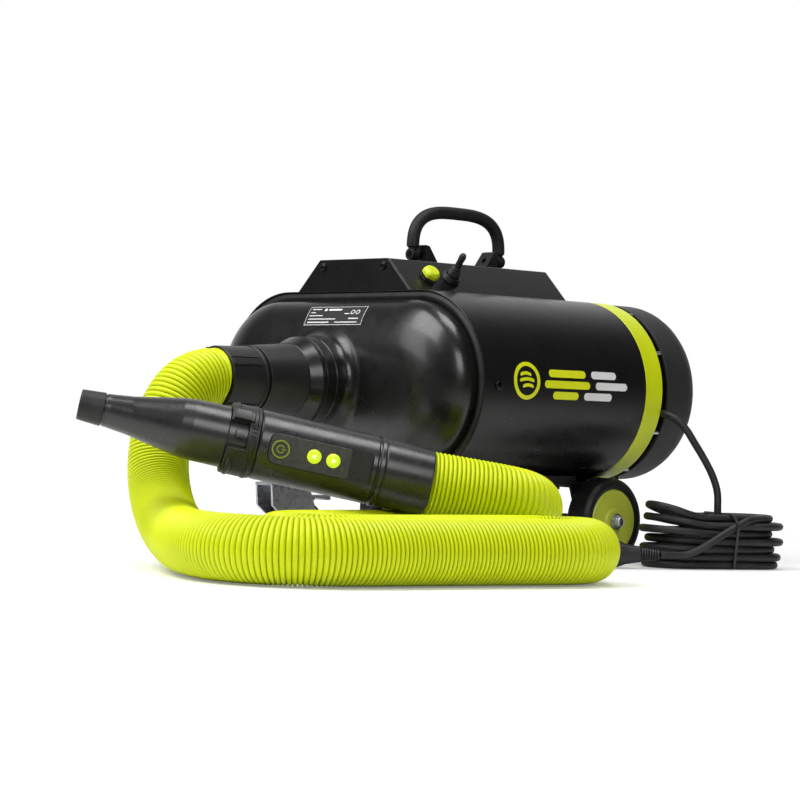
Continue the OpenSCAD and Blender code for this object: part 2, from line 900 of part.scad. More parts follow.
placed() air_hose();
placed() nozzle_tip();
placed() nozzle();
placed() lock_ring();
placed() handset_body();
placed() control_panel();
placed() power_button();
placed() slower_button();
placed() faster_button();
placed() handset_cuff();
placed() cord_gland();
placed() mains_lead();
placed() cord_hank();
placed() plug_lead();
placed() mains_plug();
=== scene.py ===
"""Looks of the car dryer blower: its painted shell, moulded cap, ribbed hose, handset, wheels and lead."""

import json
from math import acos, copysign, cos, hypot, pi, radians, sin, sqrt, tan

import bmesh
import bpy
from mathutils import Matrix, Vector


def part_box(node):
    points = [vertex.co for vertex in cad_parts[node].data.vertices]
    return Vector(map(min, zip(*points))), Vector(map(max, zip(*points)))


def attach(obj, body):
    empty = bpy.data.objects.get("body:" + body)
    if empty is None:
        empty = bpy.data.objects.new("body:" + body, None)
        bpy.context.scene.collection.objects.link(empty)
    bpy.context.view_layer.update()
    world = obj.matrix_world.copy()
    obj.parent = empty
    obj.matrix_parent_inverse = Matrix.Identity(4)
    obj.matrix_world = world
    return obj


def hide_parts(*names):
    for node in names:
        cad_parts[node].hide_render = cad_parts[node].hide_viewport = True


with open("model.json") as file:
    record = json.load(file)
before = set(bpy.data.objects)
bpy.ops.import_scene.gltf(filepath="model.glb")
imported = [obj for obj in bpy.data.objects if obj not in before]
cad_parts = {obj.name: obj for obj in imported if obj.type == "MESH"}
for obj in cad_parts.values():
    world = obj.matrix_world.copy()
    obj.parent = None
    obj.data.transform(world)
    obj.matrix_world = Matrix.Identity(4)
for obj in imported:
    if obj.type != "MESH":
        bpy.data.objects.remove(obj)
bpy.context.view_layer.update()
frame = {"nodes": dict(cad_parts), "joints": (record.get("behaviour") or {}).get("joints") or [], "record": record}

MM = 0.001
TAU = 2 * pi
# The machine's own zero, as in part.scad: mid-width at the shell's front rim, on the floor.
shell_lo, shell_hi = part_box("shell")
ZERO = Vector(((shell_lo.x + shell_hi.x) / 2, shell_lo.y, 0))
AXIS_Z = (shell_lo.z + shell_hi.z) / 2 / MM
SHELL_R = (shell_hi.z - shell_lo.z) / 2 / MM
END_X = (shell_hi.x - shell_lo.x) / 2 / MM - SHELL_R
SHELL_LENGTH = (shell_hi.y - shell_lo.y) / MM
JOINTS = {joint["name"]: joint for joint in frame["joints"]}


def at(x, y, z):
    """A point in the machine's own millimetres, in the part's frame in metres."""
    return ZERO + Vector((x, y, z)) * MM


# ---- camera

CAMERA_AT = at(1822.3, -1683.3, 138.4)
CAMERA_AZIMUTH = 46.12
CAMERA_ELEVATION = -0.4
CAMERA_ROLL = 1.75


def camera_axes(azimuth, elevation, roll):
    """The camera's own axes: x to the right, y up, z back towards the viewer."""
    a, e, r = (radians(angle) for angle in (azimuth, elevation, roll))
    back = Vector((sin(a) * cos(e), -cos(a) * cos(e), sin(e)))
    right = Vector((cos(a), sin(a), 0))
    up = back.cross(right)
    x_axis = right * cos(r) + up * sin(r)
    y_axis = up * cos(r) - right * sin(r)
    return Matrix((x_axis, y_axis, back)).transposed()


def make_camera():
    """The camera that looks as the picture's does, a little above the floor."""
    lens = bpy.data.cameras.new("camera")
    lens.sensor_width = 36
    lens.lens = 114.3
    lens.clip_start = 0.05
    lens.clip_end = 50
    camera = bpy.data.objects.new("camera", lens)
    bpy.context.scene.collection.objects.link(camera)
    axes = camera_axes(CAMERA_AZIMUTH, CAMERA_ELEVATION, CAMERA_ROLL)
    camera.matrix_world = Matrix.Translation(CAMERA_AT) @ axes.to_4x4()
    bpy.context.scene.camera = camera


make_camera()


# ---- mesh helpers

WELD_GAP = 2e-6
HARD_EDGE = 40
ARC_STEPS = 72
FLAT_STEPS = 24
FLAT_HOLD = 3
PRINT_SINK = 0.06
PRINT_LIFT = 0.12


def mesh_object(name, vertices, faces, smooth=True, sharp=HARD_EDGE):
    """A linked mesh object from its vertices and faces, welded, with its normals outward."""
    mesh = bpy.data.meshes.new(name)
    mesh.from_pydata([tuple(v) for v in vertices], [], faces)
    work = bmesh.new()
    work.from_mesh(mesh)
    bmesh.ops.remove_doubles(work, verts=work.verts, dist=WELD_GAP)
    bmesh.ops.dissolve_degenerate(work, edges=work.edges, dist=1e-7)
    bmesh.ops.recalc_face_normals(work, faces=work.faces)
    work.to_mesh(mesh)
    work.free()
    if smooth:
        mesh.shade_smooth()
        if sharp:
            mesh.set_sharp_from_angle(angle=radians(sharp))
    piece = bpy.data.objects.new(name, mesh)
    bpy.context.scene.collection.objects.link(piece)
    return piece


def rounded(corners, steps=6, closed=False):
    """Points through (a, b, radius) corners, each rounded by an arc of its radius."""
    points = []
    count = len(corners)
    for i, (a, b, *size) in enumerate(corners):
        here = Vector((a, b))
        radius = size[0] if size else 0
        if radius <= 0 or (not closed and i in (0, count - 1)):
            points.append(here)
            continue
        before = Vector(corners[i - 1][:2]) - here
        after = Vector(corners[(i + 1) % count][:2]) - here
        half = before.angle(after) / 2
        reach = min(radius / tan(half), before.length * 0.49, after.length * 0.49)
        start = here + before.normalized() * reach
        end = here + after.normalized() * reach
        for k in range(steps + 1):
            t = k / steps
            points.append(start * (1 - t) ** 2 + here * 2 * t * (1 - t) + end * t ** 2)
    return points


def skin(name, rings, looped=False, ends=False, sharp=HARD_EDGE):
    """Rings of as many points each, joined by quads.

    looped joins the last ring to the first; ends closes the first ring and the last.
    """
    count = len(rings[0])
    faces = []
    for i in range(len(rings) if looped else len(rings) - 1):
        j = (i + 1) % len(rings)
        for k in range(count):
            n = (k + 1) % count
            faces.append((i * count + k, i * count + n, j * count + n, j * count + k))
    if ends:
        last = count * (len(rings) - 1)
        faces += [tuple(reversed(range(count))), tuple(range(last, last + count))]
    return mesh_object(name, [point for ring in rings for point in ring], faces, sharp=sharp)


def lathe(name, profile, place, segments, looped, wave=None):
    """Turns a profile of (radius, height) in millimetres about the z axis of place.

    wave(angle, radius, height) may return another radius, for flutes and lobes.
    """
    rings = []
    for radius, height in profile:
        ring = []
        for k in range(segments):
            a = TAU * k / segments
            r = wave(a, radius, height) if wave else radius
            ring.append(place @ Vector((r * cos(a), r * sin(a), height)))
        rings.append(ring)
    return skin(name, rings, looped)


def turned(name, corners, place, steps, segments=96):
    """Turned piece from the closed profile of its (radius, height, rounding) corners."""
    return lathe(name, rounded(corners, steps, closed=True), place, segments, True)


def capped(name, corners, place, steps, segments, wave=None):
    """Turned piece whose open profile starts and ends on the axis."""
    return lathe(name, rounded(corners, steps), place, segments, False, wave)


def obround_outline(radius):
    """Points (x, z) of the obround of that end radius about the shell's axis, in millimetres."""
    points = []
    for side in (1, -1):
        for k in range(ARC_STEPS):
            a = pi * (k / ARC_STEPS - 0.5)
            points.append((side * (END_X + radius * cos(a)), side * radius * sin(a)))
        for k in range(FLAT_STEPS):
            points.append((side * END_X * (1 - 2 * k / FLAT_STEPS), side * radius))
    return points


def obround_skin(name, profile, looped=True):
    """Skin through obrounds given as (end radius, y) in millimetres, y from the shell's front rim."""
    rings = []
    for radius, y in profile:
        rings.append([at(x, y, AXIS_Z + z) for x, z in obround_outline(radius)])
    return skin(name, rings, looped)


def band_profile(inner, outer, start, end, lip):
    """Closed (radius, y) profile of a band with rounded lips, and points that hold its flats."""
    near, far = start + FLAT_HOLD, end - FLAT_HOLD
    return rounded(
        [
            (inner, start, lip), (outer, start, lip), (outer, near), (outer, far),
            (outer, end, lip), (inner, end, lip), (inner, far), (inner, near),
        ], steps=3, closed=True,
    )


def prism(name, outline, height, place, bevel=0.0):
    """A plate: outline points (x, y) in millimetres, raised to height along place's z."""
    rings = [[place @ Vector((x, y, z)) for x, y in outline] for z in (0, height)]
    piece = skin(name, rings, ends=True, sharp=0 if bevel else HARD_EDGE)
    if bevel:
        round_edges(piece, bevel, segments=3, dissolve=False)
    return piece


def block(name, low, high, place, bevel):
    """A box between two corners in place's millimetres, with rounded edges."""
    (x0, y0, z0), (x1, y1, z1) = low, high
    outline = [(x0, y0), (x1, y0), (x1, y1), (x0, y1)]
    return prism(name, outline, z1 - z0, moved(place, 0, 0, z0), bevel)


def round_edges(piece, width, segments=2, dissolve=True):
    """Rounds a piece's hard edges by width millimetres, without touching its own mesh."""
    if dissolve:
        weld = piece.modifiers.new("weld", "WELD")
        weld.merge_threshold = 1e-5
        flatten = piece.modifiers.new("flatten", "DECIMATE")
        flatten.decimate_type = "DISSOLVE"
        flatten.angle_limit = radians(0.4)
    bevel = piece.modifiers.new("bevel", "BEVEL")
    bevel.width = width * MM
    bevel.segments = segments
    bevel.limit_method = "ANGLE"
    bevel.angle_limit = radians(30)
    bevel.use_clamp_overlap = True
    bevel.harden_normals = True
    return piece


def join(name, pieces):
    """One object from several, named name."""
    for piece in pieces:
        bpy.context.view_layer.objects.active = piece
        for modifier in list(piece.modifiers):
            bpy.ops.object.modifier_apply(modifier=modifier.name)
    bpy.ops.object.select_all(action="DESELECT")
    for piece in pieces:
        piece.select_set(True)
    bpy.context.view_layer.objects.active = pieces[0]
    bpy.ops.object.join()
    pieces[0].name = name
    pieces[0].data.name = name
    return pieces[0]


def cut(piece, *tools):
    """Cuts the tools' shapes out of a piece and removes the tools."""
    for tool in tools:
        boolean = piece.modifiers.new("cut", "BOOLEAN")
        boolean.operation = "DIFFERENCE"
        boolean.solver = "EXACT"
        boolean.object = tool
        bpy.context.view_layer.objects.active = piece
        bpy.ops.object.modifier_apply(modifier=boolean.name)
        bpy.data.objects.remove(tool)
    piece.data.set_sharp_from_angle(angle=radians(32))
    return piece


UPRIGHT = Matrix(((1, 0, 0), (0, 0, -1), (0, 1, 0))).to_4x4()


def frame_at(origin, z_axis, x_hint=Vector((0, 0, 1))):
    """Matrix in millimetres with its origin there and z along z_axis; x leans to x_hint."""
    z = Vector(z_axis).normalized()
    x = (Vector(x_hint) - z * Vector(x_hint).dot(z)).normalized()
    y = z.cross(x)
    turn = Matrix((x, y, z)).transposed().to_4x4()
    return Matrix.Translation(origin) @ turn @ Matrix.Scale(MM, 4)


def sideways(side, x, y, z):
    """Frame at x out from the middle on that side, z pointing outward."""
    return frame_at(at(side * x, y, z), (side, 0, 0))


def moved(place, x, y, z):
    """A frame moved along its own axes."""
    return place @ Matrix.Translation((x, y, z))


def turn_by(angle, axis="Z"):
    """Rotation by that many degrees about one of the own axes."""
    return Matrix.Rotation(radians(angle), 4, axis)


def circle(radius, steps, start=0.0, sweep=360.0):
    """Points (x, y) along a circle, from start over sweep degrees."""
    closed = abs(sweep) >= 360
    count = steps if closed else steps + 1
    angles = [radians(start + sweep * k / steps) for k in range(count)]
    return [(radius * cos(a), radius * sin(a)) for a in angles]


def strip(name, pairs, surface, looped=False, high=PRINT_LIFT):
    """Thin print between pairs of (u, v) points, laid on surface(u, v, lift)."""
    rings = []
    for first, second in pairs:
        low = [surface(*point, -PRINT_SINK) for point in (first, second)]
        rings.append(low + [surface(*point, high) for point in (second, first)])
    return skin(name, rings, looped, ends=not looped, sharp=30)


def bar(name, start, end, middle, half, surface, bow=0.0):
    """Printed bar with round ends along u, from start to end; bow lifts its middle along v."""
    steps = 24
    pairs = []
    for k in range(steps + 1):
        t = (1 - cos(pi * k / steps)) / 2
        u = start + (end - start) * t
        past = max(half - min(u - start, end - u), 0)
        h = max(sqrt(max(half ** 2 - past ** 2, 0)), 0.02)
        v = middle + bow * sin(pi * t)
        pairs.append(((u, v - h), (u, v + h)))
    return strip(name, pairs, surface)


def ring_print(name, outer, inner, u, v, surface, start=0.0, sweep=360.0, steps=64):
    """Printed ring, or an arc of one, about (u, v)."""
    outside = circle(outer, steps, start, sweep)
    inside = circle(inner, steps, start, sweep)
    pairs = [((u + a, v + b), (u + c, v + d)) for (a, b), (c, d) in zip(outside, inside)]
    return strip(name, pairs, surface, looped=abs(sweep) >= 360)


# ---- swept tubes

SPAN_STEPS = 24


def blend(p, q, t, start, end):
    """Point at t on the line that passes p at start and q at end."""
    return p * ((end - t) / (end - start)) + q * ((t - start) / (end - start))


def smooth_path(points, step):
    """Catmull-Rom curve through the points, resampled every step metres."""
    ends = [points[0] * 2 - points[1]] + list(points) + [points[-1] * 2 - points[-2]]
    dense = []
    for i in range(1, len(ends) - 2):
        p0, p1, p2, p3 = ends[i - 1 : i + 3]
        t0 = 0.0
        t1 = t0 + (p1 - p0).length ** 0.5
        t2 = t1 + (p2 - p1).length ** 0.5
        t3 = t2 + (p3 - p2).length ** 0.5
        for k in range(SPAN_STEPS):
            t = t1 + (t2 - t1) * k / SPAN_STEPS
            a1 = blend(p0, p1, t, t0, t1)
            a2 = blend(p1, p2, t, t1, t2)
            a3 = blend(p2, p3, t, t2, t3)
            dense.append(blend(blend(a1, a2, t, t0, t2), blend(a2, a3, t, t1, t3), t, t1, t2))
    dense.append(points[-1].copy())
    lengths = [0.0]
    for a, b in zip(dense, dense[1:]):
        lengths.append(lengths[-1] + (b - a).length)
    total = lengths[-1]
    count = max(2, round(total / step))
    path = []
    k = 0
    for i in range(count + 1):
        s = total * i / count
        while k < len(lengths) - 2 and lengths[k + 1] < s:
            k += 1
        t = (s - lengths[k]) / max(lengths[k + 1] - lengths[k], 1e-9)
        path.append(dense[k].lerp(dense[k + 1], min(max(t, 0), 1)))
    return path


def path_length(path):
    """Length of a path, in its own units."""
    return sum((b - a).length for a, b in zip(path, path[1:]))


def relax(path, passes):
    """Evens out a path, its two ends and their directions kept."""
    for _ in range(passes):
        path = (
            path[:2]
            + [(path[i - 1] + path[i] * 2 + path[i + 1]) / 4 for i in range(2, len(path) - 2)]
            + path[-2:]
        )
    return path


def tube_mesh(name, path, radius_at, sides, directions=None):
    """Tube along a path in metres; radius_at(length along, total) gives its radius in metres.

    directions are those of its two ends, where the path's own won't do.
    """
    tangents = []
    for i in range(len(path)):
        a = path[max(i - 1, 0)]
        b = path[min(i + 1, len(path) - 1)]
        tangents.append((b - a).normalized())
    if directions is not None:
        tangents[0], tangents[-1] = directions
    side = tangents[0].orthogonal().normalized()
    total = path_length(path)
    travelled = 0.0
    rings = []
    for i, point in enumerate(path):
        if i:
            travelled += (point - path[i - 1]).length
            side = (side - tangents[i] * side.dot(tangents[i])).normalized()
        other = tangents[i].cross(side)
        radius = radius_at(travelled, total)
        angles = [TAU * k / sides for k in range(sides)]
        rings.append([point + (side * cos(a) + other * sin(a)) * radius for a in angles])
    return skin(name, rings, ends=True)


# ---- cords

HOSE_RADIUS = 28 * MM
HOSE_VALLEY = 25.7 * MM
RIB_PITCH = 3.9 * MM
HOSE_ROUTE = [
    (0, -172, 170), (0, -190, 170), (0, -208, 160), (0, -223, 141), (1, -233, 116),
    (6, -240, 92), (21, -249, 67), (45, -261, 48), (76, -277, 36), (112, -297, 30),
    (168, -331, 29), (230, -354, 29), (272, -350, 29), (305, -325, 29), (323, -286, 29),
    (337, -228, 29), (352, -166, 29), (367, -110, 29), (373, -72, 29), (362, -45, 29),
    (337, -34, 29), (313, -46, 29), (301, -74, 29), (294, -120, 29), (286, -180, 29),
    (277, -242, 29), (264, -273, 29), (237, -284, 29), (210, -273, 29), (198, -244, 29),
    (200, -178, 29), (200, -118, 29), (197, -76, 30), (199, -44, 35), (208, -15, 43),
    (230, 1, 52), (257, -6, 60), (272, -34, 68), (253, -72, 75), (226, -111, 82),
]


def rib_radius(travelled, total):
    """Radius of the corrugated hose: rounded crests with narrow valleys, plain at both ends."""
    if min(travelled, total - travelled) < 0.5 * MM:
        return HOSE_VALLEY
    wave = abs(sin(pi * travelled / RIB_PITCH))
    return HOSE_VALLEY + (HOSE_RADIUS - HOSE_VALLEY) * wave ** 0.6


def make_hose():
    """The air hose from the socket through its coils to the handset's cuff."""
    points = [at(*p) for p in HOSE_ROUTE]
    even = relax(smooth_path(points, RIB_PITCH), 30)
    path = smooth_path(even, RIB_PITCH / 8)
    hose = tube_mesh("ribbed_hose", path, rib_radius, 72)
    dress(hose, "hose_lime", "air_hose", even=False)


LEAD_RADIUS = 3.7 * MM
LEAD_ROUTE = [
    (178, 258, 151), (187, 259.5, 149.5), (196, 262, 145), (204, 266.5, 136.5), (211, 273, 122),
    (218, 280.5, 106), (224.5, 286, 90), (229.5, 288, 74), (231.5, 286.5, 60),
]
PLUG_ROUTE = [(247, 220, 14), (243, 212, 14), (239, 204, 14), (235, 196.5, 14)]
# The hank's own frame: u along its runs, v across them, both from its middle on the floor.
hank_lo, hank_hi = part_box("cord_hank")
HANK_MIDDLE = (hank_lo + hank_hi) / 2
HANK_HEADING = radians(64.4)
HANK_HALF_RUN = 36.5
HANK_INNER_RADIUS = 23.4
HANK_PITCH = 7.6
# Each layer of loops from the floor up: its turn in degrees, its shift along u, and the rise of
# its near end.
HANK_LAYERS = [
    (1.5, 0, 0), (1, 3, 0), (4, -3, 0.8), (-3, 4, 2), (6, -5, 4), (-5, 3, 7.5), (3, -6, 13),
]
# Down from the gland into the middle of the loops, and from the last loop to the plug.
HANK_ENTRY = [
    (8.6, 2.8, 46), (10, 4.5, 33), (13.5, 9, 21), (20, 14, 12), (28, 17.5, 7), (38, 20.5, 4.4),
    (48.5, 18.5, 4), (56, 11.5, 4),
]
HANK_EXIT = [
    (26, -34, 48.5), (12, -37.5, 43), (-2, -39.8, 36), (-15, -41, 28.5), (-26, -41.2, 22),
    (-36, -40.4, 17),
]


def hank_point(u, v, z):
    """A point of the hank's own millimetres, in the part's frame in metres."""
    along = Vector((cos(HANK_HEADING), sin(HANK_HEADING), 0))
    aside = Vector((-sin(HANK_HEADING), cos(HANK_HEADING), 0))
    return Vector((HANK_MIDDLE.x, HANK_MIDDLE.y, z * MM)) + (along * u + aside * v) * MM


def loop_at(s, radius):
    """Point (u, v) at length s round a loop, clockwise from the near end of its far run."""
    half = HANK_HALF_RUN
    arc = pi * radius
    if s < 2 * half:
        return s - half, radius
    if s < 2 * half + arc:
        a = pi / 2 - (s - 2 * half) / radius
        return half + radius * cos(a), radius * sin(a)
    if s < 4 * half + arc:
        return half - (s - 2 * half - arc), -radius
    a = -pi / 2 - (s - 4 * half - arc) / radius
    return -half + radius * cos(a), radius * sin(a)


def layer_point(u, v, z, turn, shift, rise):
    """Puts a loop's point where its layer lies: turned, shifted and raised at the near end."""
    a = radians(turn)
    lift = min(max((-u - 10) / 60, 0), 1)
    lift = rise * lift * lift * (3 - 2 * lift)
    turned_u = u * cos(a) - v * sin(a)
    turned_v = u * sin(a) + v * cos(a)
    return Vector((turned_u + shift, turned_v, z + lift))


def coil_path():
    """The hank's loops, two to a layer, from the floor up."""
    loops = []
    for layer, lie in enumerate(HANK_LAYERS):
        for row in (0, 1) if layer % 2 == 0 else (1, 0):
            radius = HANK_INNER_RADIUS + HANK_PITCH * row
            loops.append((radius, LEAD_RADIUS / MM + 0.3 + HANK_PITCH * layer, *lie))
    points = []
    for i, loop in enumerate(loops):
        before = loops[max(i - 1, 0)]
        around = 4 * HANK_HALF_RUN + TAU * loop[0]
        start = 2 * HANK_HALF_RUN + pi * loop[0] / 2 if i == 0 else 0
        stop = 2 * HANK_HALF_RUN + pi * loop[0] if i == len(loops) - 1 else around
        steps = max(6, round(18 * (stop - start) / around))
        for k in range(steps):
            s = start + (stop - start) * k / steps
            ease = min(s / (0.24 * around), 1)
            ease = ease * ease * (3 - 2 * ease)
            radius, z, turn, shift, rise = (a + (b - a) * ease for a, b in zip(before, loop))
            u, v = loop_at(s, radius)
            points.append(layer_point(u, v, z, turn, shift, rise))
    return points


def lead_tie():
    """Thin strap drawn tight round the hank and the run that crosses its side."""
    half_width = LEAD_RADIUS / MM + HANK_INNER_RADIUS + HANK_PITCH + 1.4
    top = 2 * LEAD_RADIUS / MM + HANK_PITCH * (len(HANK_LAYERS) - 1) + 1
    corners = [
        (half_width, 0.8, 6), (half_width, top, 6), (-30, top, 6), (-44, 44, 5), (-half_width, 0.8, 6),
    ]
    loop = rounded(corners, steps=8, closed=True)
    rings = []
    for i, point in enumerate(loop):
        ahead = loop[(i + 1) % len(loop)] - loop[i - 1]
        out = Vector((ahead.y, -ahead.x)).normalized() * 0.5
        strap = ((-1, 8), (1, 8), (1, 10.6), (-1, 10.6))
        rings.append([hank_point(u, *(point + out * side)) for side, u in strap])
    return dress(skin("lead_tie", rings, looped=True), "plastic_black")


def make_lead():
    """The mains lead from the gland through the hank's loops to the plug, as one cable."""
    ends = [*make_plug(), lead_tie()]
    drop = [at(*p) for p in LEAD_ROUTE]
    entry = [hank_point(*p) for p in HANK_ENTRY]
    coil = [hank_point(*p) for p in coil_path()]
    leaving = [hank_point(*p) for p in HANK_EXIT]
    tail = [at(*p) for p in PLUG_ROUTE]
    path = relax(smooth_path(drop + entry + coil + leaving + tail, 2 * MM), 6)
    lead = tube_mesh("mains_cable", path, lambda s, total: LEAD_RADIUS, 20)
    dress(lead, "rubber_black", "mains_lead", "cord_hank", "plug_lead", even=False)


# ---- materials


MATERIALS = {}


def fill(node, values):
    """Sets a node's inputs by name and returns the node."""
    for socket, value in values.items():
        node.inputs[socket].default_value = value
    return node


class Recipe:
    """Builds one node material around a Principled shader and files it under its name."""

    def __init__(self, name, base, rough, metallic=0.0, coat=0.0, coat_rough=0.1, specular=0.5):
        self.material = bpy.data.materials.new(name)
        self.material.use_nodes = True
        self.nodes = self.material.node_tree.nodes
        self.links = self.material.node_tree.links
        self.shader = self.nodes["Principled BSDF"]
        self.material.diffuse_color = (*base, 1)
        fill(self.shader, {
            "Base Color": (*base, 1), "Roughness": rough, "Metallic": metallic, "Coat Weight": coat,
            "Coat Roughness": coat_rough, "Specular IOR Level": specular,
        })
        self.base = base
        self.rough = rough
        self.place = self.nodes.new("ShaderNodeTexCoord").outputs["Object"]
        MATERIALS[name] = self.material

    def add(self, kind, values):
        """A new node of that kind with its inputs set."""
        return fill(self.nodes.new("ShaderNode" + kind), values)

    def noise(self, scale, detail=3.0, stretch=None):
        """Noise in object space; scale is in waves per metre, stretch scales the three axes."""
        texture = self.add("TexNoise", {"Scale": scale, "Detail": detail})
        place = self.place
        if stretch is not None:
            mapping = self.add("Mapping", {"Scale": stretch})
            self.links.new(place, mapping.inputs["Vector"])
            place = mapping.outputs["Vector"]
        self.links.new(place, texture.inputs["Vector"])
        return texture.outputs["Fac"]

    def spread(self, source, low, high, start=0.3, end=0.7):
        """Maps a 0 to 1 source onto low to high."""
        limits = {"From Min": start, "From Max": end, "To Min": low, "To Max": high}
        node = self.add("MapRange", limits)
        self.links.new(source, node.inputs["Value"])
        return node.outputs["Result"]

    def mix(self, factor, first, second):
        """Colour mix of two colours or sockets by a factor socket."""
        node = self.nodes.new("ShaderNodeMix")
        node.data_type = "RGBA"
        self.links.new(factor, node.inputs["Factor"])
        for socket, value in ((node.inputs[6], first), (node.inputs[7], second)):
            if isinstance(value, bpy.types.NodeSocket):
                self.links.new(value, socket)
            else:
                socket.default_value = (*value, 1)
        return node.outputs[2]

    def feed(self, socket, source):
        """Drives one of the shader's sockets from a source."""
        self.links.new(source, self.shader.inputs[socket])

    def bump(self, source, depth):
        """Bumps the surface by that depth in metres."""
        node = self.add("Bump", {"Distance": depth, "Strength": 1.0})
        self.links.new(source, node.inputs["Height"])
        self.feed("Normal", node.outputs["Normal"])

    def vary(self, amount, scale, rough_amount=0.05, rough_scale=60):
        """Slow drift of the colour's brightness and of the roughness."""
        dark = tuple(c * (1 - amount) for c in self.base)
        light = tuple(min(c * (1 + amount), 1) for c in self.base)
        self.feed("Base Color", self.mix(self.spread(self.noise(scale), 0, 1), dark, light))
        low, high = self.rough - rough_amount, self.rough + rough_amount
        self.feed("Roughness", self.spread(self.noise(rough_scale, 5), low, high))

    def wear(self, worn):
        """Lightens the colour along convex edges, where handling has rubbed them."""
        edge = self.nodes.new("ShaderNodeNewGeometry").outputs["Pointiness"]
        rubbed = self.spread(edge, 0, 0.6, 0.54, 0.62)
        source = self.shader.inputs["Base Color"].links[0].from_socket
        self.feed("Base Color", self.mix(rubbed, source, worn))


def painted(name, base, rough, coat, peel):
    """Powder coat or paint on sheet metal, with orange peel."""
    recipe = Recipe(name, base, rough, coat=coat, coat_rough=0.16, specular=0.4)
    recipe.vary(0.1, 14, 0.03, 45)
    recipe.bump(recipe.noise(620, 2), peel)


def moulded(name, base, rough, grain, grain_scale=2600, coat=0.0, specular=0.5):
    """Moulded plastic with a fine spark-eroded grain and faint handling marks."""
    recipe = Recipe(name, base, rough, coat=coat, coat_rough=0.12, specular=specular)
    recipe.vary(0.16, 30, 0.04, 80)
    recipe.wear(tuple(min(c * 2.2, 0.9) for c in base))
    recipe.bump(recipe.noise(grain_scale, 2), grain)


def rubbery(name, base, rough):
    """Rubber: matt, with bloom and a soft irregular surface."""
    recipe = Recipe(name, base, rough, specular=0.35)
    recipe.vary(0.3, 70, 0.07, 140)
    recipe.bump(recipe.noise(1500, 4), 0.03 * MM)


def plated(name, base, rough):
    """Zinc-plated or brushed steel with fine drawn lines and a mottled bloom."""
    recipe = Recipe(name, base, rough, metallic=1.0)
    recipe.vary(0.14, 110, 0.1, 220)
    recipe.bump(recipe.noise(900, 3, stretch=(1, 1, 9)), 0.012 * MM)


def hose_skin():
    """Bright lime hose plastic, darker down in the valleys between the ribs, where shade is painted in."""
    recipe = Recipe("hose_lime", (0.7, 0.8, 0.003), 0.42, specular=0.3)
    # Ambient occlusion blends the valleys towards a dark lime: painted shade in the creases between the ribs.
    occlusion = recipe.add("AmbientOcclusion", {"Distance": 4 * MM})
    occlusion.samples = 6
    open_sky = recipe.spread(occlusion.outputs["AO"], 0, 1, 0.3, 0.85)
    drift = recipe.spread(recipe.noise(16), 0, 1)
    crest = recipe.mix(drift, (0.67, 0.77, 0.002), (0.73, 0.83, 0.004))
    recipe.feed("Base Color", recipe.mix(open_sky, (0.33, 0.42, 0.001), crest))
    recipe.feed("Roughness", recipe.spread(recipe.noise(120, 5), 0.35, 0.46))
    recipe.bump(recipe.noise(1700, 2), 0.015 * MM)


def satin_panel():
    """Graphite control panel with a fine metallic grain."""
    recipe = Recipe("panel_grey", (0.075, 0.073, 0.078), 0.36, metallic=0.35)
    recipe.vary(0.2, 240, 0.05, 260)
    recipe.bump(recipe.noise(3000, 2), 0.004 * MM)


def lit(name, base, glow, glow_colour=None):
    """Key that glows by emission though it is no lamp: painted light, in the given glow colour or else its base
    colour.
    """
    recipe = Recipe(name, base, 0.3)
    fill(recipe.shader, {"Emission Color": (*(glow_colour or base), 1), "Emission Strength": glow})
    recipe.vary(0.08, 300, 0.04, 200)


def foam():
    """Open-cell filter foam."""
    recipe = Recipe("filter_foam", (0.035, 0.035, 0.037), 0.9, specular=0.1)
    recipe.vary(0.5, 500)
    recipe.bump(recipe.noise(700, 5), 0.6 * MM)


def board():
    """Green circuit board with darker tracks."""
    recipe = Recipe("board_green", (0.02, 0.13, 0.05), 0.35)
    tracks = recipe.spread(recipe.noise(260, 0, stretch=(6, 1, 1)), 0, 1, 0.48, 0.52)
    recipe.feed("Base Color", recipe.mix(tracks, (0.012, 0.08, 0.03), (0.03, 0.17, 0.07)))


painted("shell_black", (0.006, 0.006, 0.006), 0.29, 0.0, 0.003 * MM)
painted("band_lime", (0.66, 0.76, 0.004), 0.34, 0.05, 0.01 * MM)
moulded("cap_gloss_black", (0.006, 0.006, 0.006), 0.3, 0.001 * MM, 900, coat=0.2)
moulded("plastic_black", (0.011, 0.011, 0.012), 0.42, 0.01 * MM)
moulded("cover_grey", (0.024, 0.024, 0.024), 0.5, 0.01 * MM, specular=0.35)
moulded("grip_black", (0.022, 0.022, 0.024), 0.29, 0.004 * MM, specular=0.6)
rubbery("rubber_black", (0.022, 0.022, 0.022), 0.48)
rubbery("handle_black", (0.012, 0.012, 0.012), 0.58)
rubbery("tyre_black", (0.012, 0.012, 0.012), 0.42)
plated("zinc_steel", (0.62, 0.63, 0.66), 0.32)
plated("zinc_black", (0.03, 0.03, 0.03), 0.32)
plated("motor_alloy", (0.6, 0.6, 0.62), 0.42)
foam()
board()
moulded("boot_lime", (0.62, 0.76, 0.006), 0.34, 0.01 * MM)
hose_skin()
painted("hub_olive", (0.56, 0.63, 0.06), 0.42, 0.1, 0.02 * MM)
satin_panel()
# These keys and their arrows glow by emission though they are no lamps: painted light.
lit("button_lime", (0.6, 0.8, 0.02), 0.45, (0.75, 0.9, 0.03))
lit("arrow_glow", (0.9, 0.95, 0.5), 0.9)
moulded("button_dark", (0.05, 0.05, 0.045), 0.35, 0.004 * MM)
moulded("print_dull_lime", (0.16, 0.2, 0.015), 0.4, 0.002 * MM)
moulded("print_lime", (0.62, 0.74, 0.006), 0.38, 0.002 * MM)
moulded("print_white", (0.7, 0.7, 0.7), 0.4, 0.002 * MM)
moulded("label_black", (0.009, 0.009, 0.01), 0.45, 0.002 * MM)


